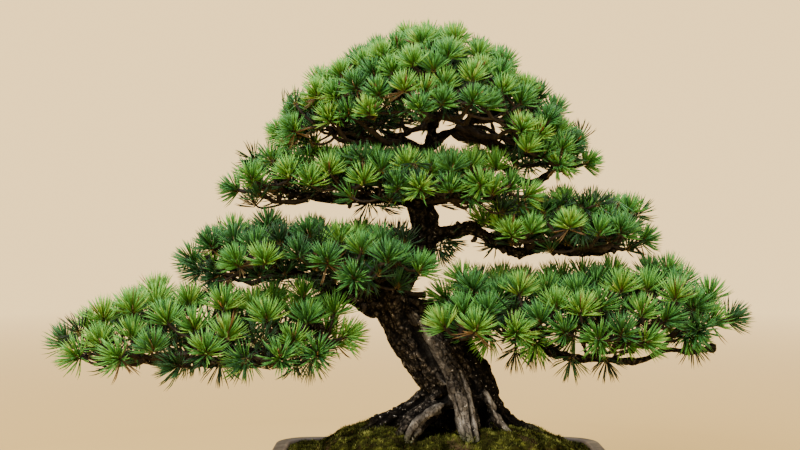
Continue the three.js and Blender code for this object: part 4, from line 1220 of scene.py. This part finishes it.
def wood_piece(wood, material):
    """The trunk, roots and branches with plated bark."""
    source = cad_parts["trunk_and_branches"]
    added = [tube(strand_route(s), np.array(s)[:, 3] * MM, STRAND_SIDES) for s in OLD_WOOD]
    points, triangles = joined([welded(source), *added])
    made = mesh_object("trunk_and_limbs", points, triangles, [])
    made = applied(made, "REMESH", mode="VOXEL", voxel_size=BARK_VOXEL)
    mesh = made.data
    edges = edges_of(mesh)
    points = relaxed(places(mesh), edges, 8)
    points = carved(points, normals_of(mesh), wood)
    points = relaxed(points, edges, 4)
    write_places(mesh, points)
    normals = normals_of(mesh)
    worn, dark = worn_and_dark(points, wood)
    lift, crack = bark_relief(points, normals, worn)
    points = points + normals * lift[:, None]
    write_places(mesh, points)
    normals = normals_of(mesh)
    # How far each point lies in a hollow, for painted shade in hollows and painted light on ridges.
    hollow_shade_and_ridge_light = np.sum((averaged(points, edges, HOLLOW_ROUNDS) - points) * normals, axis=1)
    give_numbers(made, "hollow_shade_and_ridge_light", np.clip(0.5 + hollow_shade_and_ridge_light / (6 * MM), 0, 1))
    soil_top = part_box("soil")[1][2]
    stained = points[:, 2] + 6 * MM * value_noise(points, 20 * MM, 41)
    damp = smooth_step(soil_top + 6 * MM, soil_top - 22 * MM, stained)
    give_numbers(made, "crack", crack)
    # How far up on the limbs each point lies, for the limbs' painted shade.
    give_numbers(made, "limb", smooth_step(LIMB_HEIGHT, LIMB_HEIGHT + 80 * MM, points[:, 2]))
    give_numbers(made, "worn", worn)
    give_numbers(made, "painted_shade", dark)
    give_numbers(made, "damp", damp * np.clip(0.6 + normals[:, 2], 0, 1))
    made = applied(made, "DECIMATE", ratio=min(1.0, BARK_FACES / (2 * len(mesh.polygons))))
    made.data.materials.append(material)
    made.data.shade_smooth()
    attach(made, "root")
    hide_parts("trunk_and_branches")
    return made


def girth_of(points, normals, cell=10 * MM):
    """About how thick the wood is at each point, from how far its surface turns within a few cells."""
    keys = np.floor(points / cell).astype(int)
    _, index = np.unique(keys, axis=0, return_inverse=True)
    index = index.reshape(-1)
    count = np.bincount(index)
    mean = np.stack([np.bincount(index, normals[:, k]) / count for k in range(3)], axis=1)
    turned = 1 - np.linalg.norm(mean, axis=1)
    return (cell / np.maximum(turned, 0.02) * 0.12)[index]


# Moss

def soil_heights(soil, wood):
    """The soil's surface on a grid, carried on under the roots, with three facts for each of its cells.

    They are whether it lies in the pot, how near wood is, and how far wood roofs it.
    """
    low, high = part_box("soil")
    xs = np.arange(low[0] + MOSS_CELL / 2, high[0], MOSS_CELL)
    ys = np.arange(low[1] + MOSS_CELL / 2, high[1], MOSS_CELL)
    height = np.full((len(xs), len(ys)), np.nan)
    inside = np.zeros(height.shape, bool)
    near = np.full(height.shape, ROOT_NEAR[1])
    roofed = np.zeros(height.shape)
    for i, x in enumerate(xs):
        for j, y in enumerate(ys):
            hit, _, _, _ = soil.ray_cast(Vector((x, y, 0.4)), Vector((0, 0, -1)))
            if hit is None:
                continue
            inside[i, j] = True
            found, _, _, far = wood.find_nearest(hit, ROOT_NEAR[1])
            if found is not None:
                near[i, j] = far
                over, _, _, _ = wood.ray_cast(hit + Vector((0, 0, 1 * MM)), Vector((0, 0, 1)), ROOF)
                roofed[i, j] = over is not None
            if near[i, j] > 1.6 * MM:
                height[i, j] = hit.z
    known = ~np.isnan(height)
    filled = np.where(known, height, np.nanmean(height))
    for _ in range(150):
        around = sum(np.roll(filled, step, axis) for step, axis in BESIDE) / 4
        filled = np.where(known, height, around)
    for _ in range(3):
        roofed = sum(np.roll(roofed, step, axis) for step, axis in ((0, 0), *BESIDE)) / 5
    return xs, ys, filled, inside, near, roofed


def moss_piece(soil, wood, moss, earth):
    """The bed of soil with moss cushions on it: a flat border by the wall, and a mound under the roots."""
    xs, ys, height, inside, near, roofed = soil_heights(soil, wood)
    grid = np.stack([*np.meshgrid(xs, ys, indexing="ij"), height], axis=-1)
    flat = grid.reshape(-1, 3)
    near = near.reshape(-1)
    x, y, _ = (flat - POT_MIDDLE).T / MM
    out = np.hypot((x - MOUND_MIDDLE) / MOUND_REACH[0], y / MOUND_REACH[1])
    mound = (MOSS_LEVEL + MOUND_RISE * np.clip((1 - out) / MOUND_EDGE, 0, 1) ** 0.6) * MM
    flat[:, 2] -= smooth_step(*ROOT_NEAR, near) * np.maximum(flat[:, 2] - mound, 0)
    big = scattered(flat, CUSHION_SIZE, 51)
    small = scattered(flat, TUSSOCK_SIZE, 57)
    cushion = CUSHION * (1 - np.minimum(big, 1) ** 2) + TUSSOCK * (1 - np.minimum(small, 1) ** 2)
    cushion *= 1 - roofed.reshape(-1)
    # How high the cushions stand, from 0 to 1; the moss is painted darker in low places and lighter in high
    # ones by it, as shade and light.
    rise = cushion / (CUSHION + TUSSOCK)
    creep = CREEP * np.exp(-(near / CREEP_REACH) ** 2) * (1 + 0.5 * value_noise(flat, 14 * MM, 77))
    uneven = 1.3 * value_noise(flat, 45 * MM, 61) + 0.6 * value_noise(flat, 3 * MM, 67)
    top = flat + UP * (MOSS_LIFT + MM * np.maximum(0, cushion + creep + uneven - 2.5))[:, None]
    under = POT_MIDDLE + (flat - POT_MIDDLE) * UNDER_SHARE
    under[:, 2] = POT_FLOOR * MM + MOSS_BED
    width = len(ys)
    count = len(flat)
    quads = []
    used = inside[:-1, :-1] & inside[1:, :-1] & inside[:-1, 1:] & inside[1:, 1:]
    for i, j in zip(*np.nonzero(used)):
        a = i * width + j
        b, c, d = a + width, a + width + 1, a + 1
        quads.append((a, b, c, d))
        quads.append((count + a, count + d, count + c, count + b))
        sides = (((i, j - 1), a, b), ((i + 1, j), b, c), ((i, j + 1), c, d), ((i - 1, j), d, a))
        for (u, v), p, q in sides:
            if not (0 <= u < used.shape[0] and 0 <= v < used.shape[1] and used[u, v]):
                quads.append((p, count + p, count + q, q))
    points = np.concatenate([top, under])
    quads = np.array(quads)
    kept, index = np.unique(quads, return_inverse=True)
    made = mesh_object("moss_carpet", points[kept], index.reshape(quads.shape), [moss, earth])
    made.data.polygons.foreach_set("material_index", (quads.max(1) >= count).astype(np.int32))
    give_numbers(made, "rise", np.tile(rise, 2)[kept])
    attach(made, "root")
    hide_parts("soil")
    return top.reshape(*height.shape, 3), used, rise.reshape(height.shape)


def sprigs_on_wood(bark, top):
    """Feet for stems of moss that creep up the roots, and the way that the wood faces there."""
    points = places(bark.data)
    corners = points[corners_of(bark.data)]
    corners = corners[corners[:, :, 2].mean(1) < MOSS_TOP]
    foot, way = spots_on(corners, across_of(corners), CLIMBERS)
    cell = ((foot[:, :2] - top[0, 0, :2]) / MOSS_CELL).round().astype(int)
    cell = np.clip(cell, 0, np.array(top.shape[:2]) - 1)
    height = (foot[:, 2] - top[cell[:, 0], cell[:, 1], 2]) / MM
    limit = CLIMB * (0.6 + value_noise(foot, 13 * MM, 89) + 0.5 * value_noise(foot, 30 * MM, 97))
    fits = (height > -2) & (height < limit) & (way[:, 2] > -0.5)
    return foot[fits], way[fits]


def sprig_piece(top, used, rise, bark, material):
    """Short stems of moss that stand on the cushions and on the feet of the roots."""
    climbing, facing = sprigs_on_wood(bark, top)
    extra = len(climbing)
    cells = np.argwhere(used)
    picks = cells[rng.integers(0, len(cells), SPRIGS)]
    shift = rng.uniform(0, 1, (SPRIGS, 2))
    a = top[picks[:, 0], picks[:, 1]]
    b = top[picks[:, 0] + 1, picks[:, 1]]
    c = top[picks[:, 0], picks[:, 1] + 1]
    foot = a + (b - a) * shift[:, :1] + (c - a) * shift[:, 1:] - UP * 0.6 * MM
    foot = np.concatenate([foot, climbing])
    total = SPRIGS + extra
    lean = np.concatenate([np.zeros((SPRIGS, 3)), 0.8 * facing])
    aim = unit(UP + lean + rng.normal(0, 0.42, (total, 3)))
    tuft = value_noise(foot, 8 * MM, 83)
    height = np.concatenate([rise[picks[:, 0], picks[:, 1]], np.full(extra, 0.5)])
    # Sprigs on high cushions are painted lighter and those in hollows darker, as light and shade; the rest is
    # random tone.
    tone = 0.32 + 0.22 * value_noise(foot, 22 * MM, 71) + 0.50 * tuft + 0.6 * (height - 0.5)
    tone = np.clip(tone + rng.normal(0, 0.10, total), 0, 0.95)
    length = rng.uniform(2.8, 5.6, total) * (1 + 0.45 * tuft) * np.clip(height * 2.5, 0.1, 1) * MM
    side, over = crosswise(aim)
    turns = np.arange(3) * 2 * math.pi / 3
    rings = [foot + SPRIG_RADIUS * (math.cos(t) * side + math.sin(t) * over) for t in turns]
    points = np.stack([*rings, foot + aim * length[:, None]], axis=1).reshape(-1, 3)
    one = np.array([(0, 2, 1), (0, 1, 3), (1, 2, 3), (2, 0, 3)])
    triangles = (one[None] + 4 * np.arange(total)[:, None, None]).reshape(-1, 3)
    made = mesh_object("moss_sprigs", points, triangles, [material])
    tone = np.where(rng.uniform(0, 1, total) < 0.04, 1.0, tone)
    give_map(made, np.repeat(tone, 4), np.tile([0, 0, 0, 1], total))
    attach(made, "root")


# Pot

def rounded_ring(width, depth, corner, z, middle=(0, 0)):
    """The corners of a rounded rectangle, all lengths in millimetres."""
    ring = []
    for quarter, (sx, sy) in enumerate(((1, 1), (-1, 1), (-1, -1), (1, -1))):
        for i in range(CORNER_STEPS + 1):
            angle = (quarter + i / CORNER_STEPS) * math.pi / 2
            ring.append((middle[0] + sx * (width / 2 - corner) + corner * math.cos(angle),
                         middle[1] + sy * (depth / 2 - corner) + corner * math.sin(angle), z))
    return np.array(ring)


def pot_ring(z, inset):
    """A ring of the pot's body at a height, set in from its outside by so much."""
    rise = max(z - FOOT_HEIGHT, 0) / (POT_HEIGHT - FOOT_HEIGHT)
    width, depth = BASE + (np.array(LIP) - 2 * LIP_OVER - BASE) * rise ** 0.8
    return rounded_ring(width - 2 * inset, depth - 2 * inset, POT_CORNER - inset, z)


def lofted(rings):
    """A closed solid through rings of the same number of points: points and faces."""
    count = len(rings[0])
    faces = [tuple(range(count))[::-1], tuple(range((len(rings) - 1) * count, len(rings) * count))]
    for i in range(len(rings) - 1):
        for j in range(count):
            k = (j + 1) % count
            faces.append((i * count + j, i * count + k, (i + 1) * count + k, (i + 1) * count + j))
    return np.concatenate(rings), faces


def solid_object(name, points, faces):
    mesh = bpy.data.meshes.new(name)
    mesh.from_pydata([tuple(p) for p in points], [], faces)
    mesh.update()
    return new_object(name, mesh)


def pot_piece(material):
    """The pot, with rounded edges on its lip and base, four feet and two drainage holes."""
    rings = [pot_ring(FOOT_HEIGHT + up, inset) for up, inset in BASE_EDGE]
    rings += [pot_ring(z, 0) for z in np.linspace(FOOT_HEIGHT + 5, POT_HEIGHT - LIP_HEIGHT, 9)]
    for inset, down in LIP_EDGE:
        corner = POT_CORNER + LIP_OVER - inset
        rings.append(rounded_ring(LIP[0] - 2 * inset, LIP[1] - 2 * inset, corner, POT_HEIGHT - down))
    high, low = pot_ring(POT_HEIGHT - 5, WALL), pot_ring(POT_FLOOR, WALL)
    rings += [high + (low - high) * share for share in (0, 0.3, 0.65, 1)]
    points, faces = lofted(rings)
    made = solid_object("pot_body", points * MM, faces)
    x, y = (BASE - 2 * FOOT_INSET - FOOT) / 2
    for middle in ((x, y), (-x, y), (-x, -y), (x, -y)):
        feet = [rounded_ring(*(FOOT + 2 * grow), FOOT_CORNER + grow, z, middle) for z, grow in FOOT_EDGE]
        points, faces = lofted(feet)
        foot = solid_object("foot", points * MM, faces)
        joined_with(made, foot, "UNION")
    for side in (-1, 1):
        middle = (side * HOLE_OFFSET, 0)
        circle = [rounded_ring(2 * HOLE, 2 * HOLE, HOLE - 0.01, z, middle) for z in (0, POT_FLOOR + 9)]
        points, faces = lofted(circle)
        joined_with(made, solid_object("hole", points * MM, faces), "DIFFERENCE")
    points = places(made.data)
    across = np.abs(points[:, :2]) / MM - np.array(LIP) / 2 + POT_CORNER + LIP_OVER
    inset = POT_CORNER + LIP_OVER - np.linalg.norm(np.maximum(across, 0), axis=1)
    inset = inset - np.minimum(across.max(1), 0)
    height = points[:, 2] / MM
    # The lip's outer and inner top edges, which get a painted highlight.
    top = smooth_step(POT_HEIGHT - 8, POT_HEIGHT - 2, height)
    edge = top * np.maximum(smooth_step(5, 1, inset), smooth_step(17, 20, inset) * smooth_step(26, 21, inset))
    give_numbers(made, "edge", edge)
    made.data.transform(Matrix.Translation(Vector(POT_MIDDLE)))
    made.data.materials.append(material)
    made.data.shade_smooth()
    made.data.set_sharp_from_angle(angle=math.radians(SHARP_ANGLE))
    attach(made, "root")
    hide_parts("pot")


def joined_with(made, other, operation):
    """Adds another solid to a solid, or takes it away."""
    applied(made, "BOOLEAN", object=other, operation=operation, solver="EXACT")
    bpy.data.objects.remove(other)


def finish_frame_nodes(materials):
    for name, material in materials.items():
        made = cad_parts[name]
        made.data.materials.clear()
        made.data.materials.append(material)


# Studio

def studio():
    world = bpy.data.worlds.new("studio")
    bpy.context.scene.world = world
    world.use_nodes = True
    sky = world.node_tree
    back = sky.nodes["Background"]
    way = sky.nodes.new("ShaderNodeTexCoord").outputs["Generated"]
    height = node(sky, "ShaderNodeSeparateXYZ", Vector=way).outputs["Z"]
    sky.links.new(blended(sky, mapped(sky, height, *SKY_RISE), PALE, OVERHEAD), back.inputs["Color"])
    back.inputs["Strength"].default_value = GLOW
    floor_material, tree, shader = new_material("studio_floor", 0.9, 0.1)
    out = tree.nodes["Material Output"]
    shader.inputs["Base Color"].default_value = FLOOR_COLOUR
    glow = node(tree, "ShaderNodeEmission", Color=(*PALE, 1), Strength=GLOW)
    far = node(tree, "ShaderNodeVectorMath", {"operation": "LENGTH"}, i0=object_place(tree))
    fade = mapped(tree, far.outputs["Value"], FLOOR_NEAR, FLOOR_FADE)
    mixed = node(tree, "ShaderNodeMixShader", i0=fade, i1=shader.outputs["BSDF"],
                 i2=glow.outputs["Emission"])
    tree.links.new(mixed.outputs["Shader"], out.inputs["Surface"])
    angle = np.arange(FLOOR_SIDES) * 2 * math.pi / FLOOR_SIDES
    rim = np.stack([np.cos(angle), np.sin(angle), 0 * angle], axis=1) * FLOOR_RADIUS
    fan = [(FLOOR_SIDES, i, (i + 1) % FLOOR_SIDES) for i in range(FLOOR_SIDES)]
    mesh_object("floor", np.concatenate([rim, [[0, 0, 0]]]), fan, [floor_material])
    for name, place, size, power in LAMPS:
        lamp = bpy.data.lights.new(name, "AREA")
        lamp.size = size
        lamp.energy = power
        made = new_object(name, lamp)
        made.location = place
        made.rotation_euler = (Vector(LAMP_AIM) - Vector(place)).to_track_quat("-Z", "Y").to_euler()


def camera():
    lens = bpy.data.cameras.new("camera")
    lens.sensor_width = SENSOR
    lens.lens = FOCAL_PIXELS * SENSOR / FRAME_WIDTH
    made = new_object("camera", lens)
    made.location = Vector(POT_MIDDLE) + Vector(CAMERA_PLACE)
    made.rotation_euler = (math.radians(90), 0, 0)
    bpy.context.scene.camera = made


camera()
studio()

pot_piece(clay_material())
finish_frame_nodes({
    "drain_mesh_left": plastic_material(),
    "drain_mesh_right": plastic_material(),
})

wood_tree = tree_of(*welded(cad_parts["trunk_and_branches"]))
soil_tree = tree_of(*welded(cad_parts["soil"]))
bark_piece = wood_piece(wood_tree, bark_material())

green = needle_material()
twigs, buds = spur_parts(welded(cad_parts["trunk_and_branches"])), []
for pad in PADS:
    pad_branchlets, pad_tufts = dress_pad(pad, wood_tree)
    needle_piece(pad, pad_tufts, green)
    twigs += twig_parts(pad_branchlets, pad_tufts, wood_tree)
    twigs += bough_parts(pad, pad_tufts, wood_tree)
    buds += bud_parts(pad_tufts)
for piece_name, parts, material in (("twigs", twigs, shoot_material()), ("buds", buds, bud_material())):
    piece = mesh_object(piece_name, *joined(parts), [material])
    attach(piece, "root")

moss_top, moss_used, moss_rise = moss_piece(soil_tree, wood_tree, moss_material(), earth_material())
sprig_piece(moss_top, moss_used, moss_rise, bark_piece, moss_sprig_material())
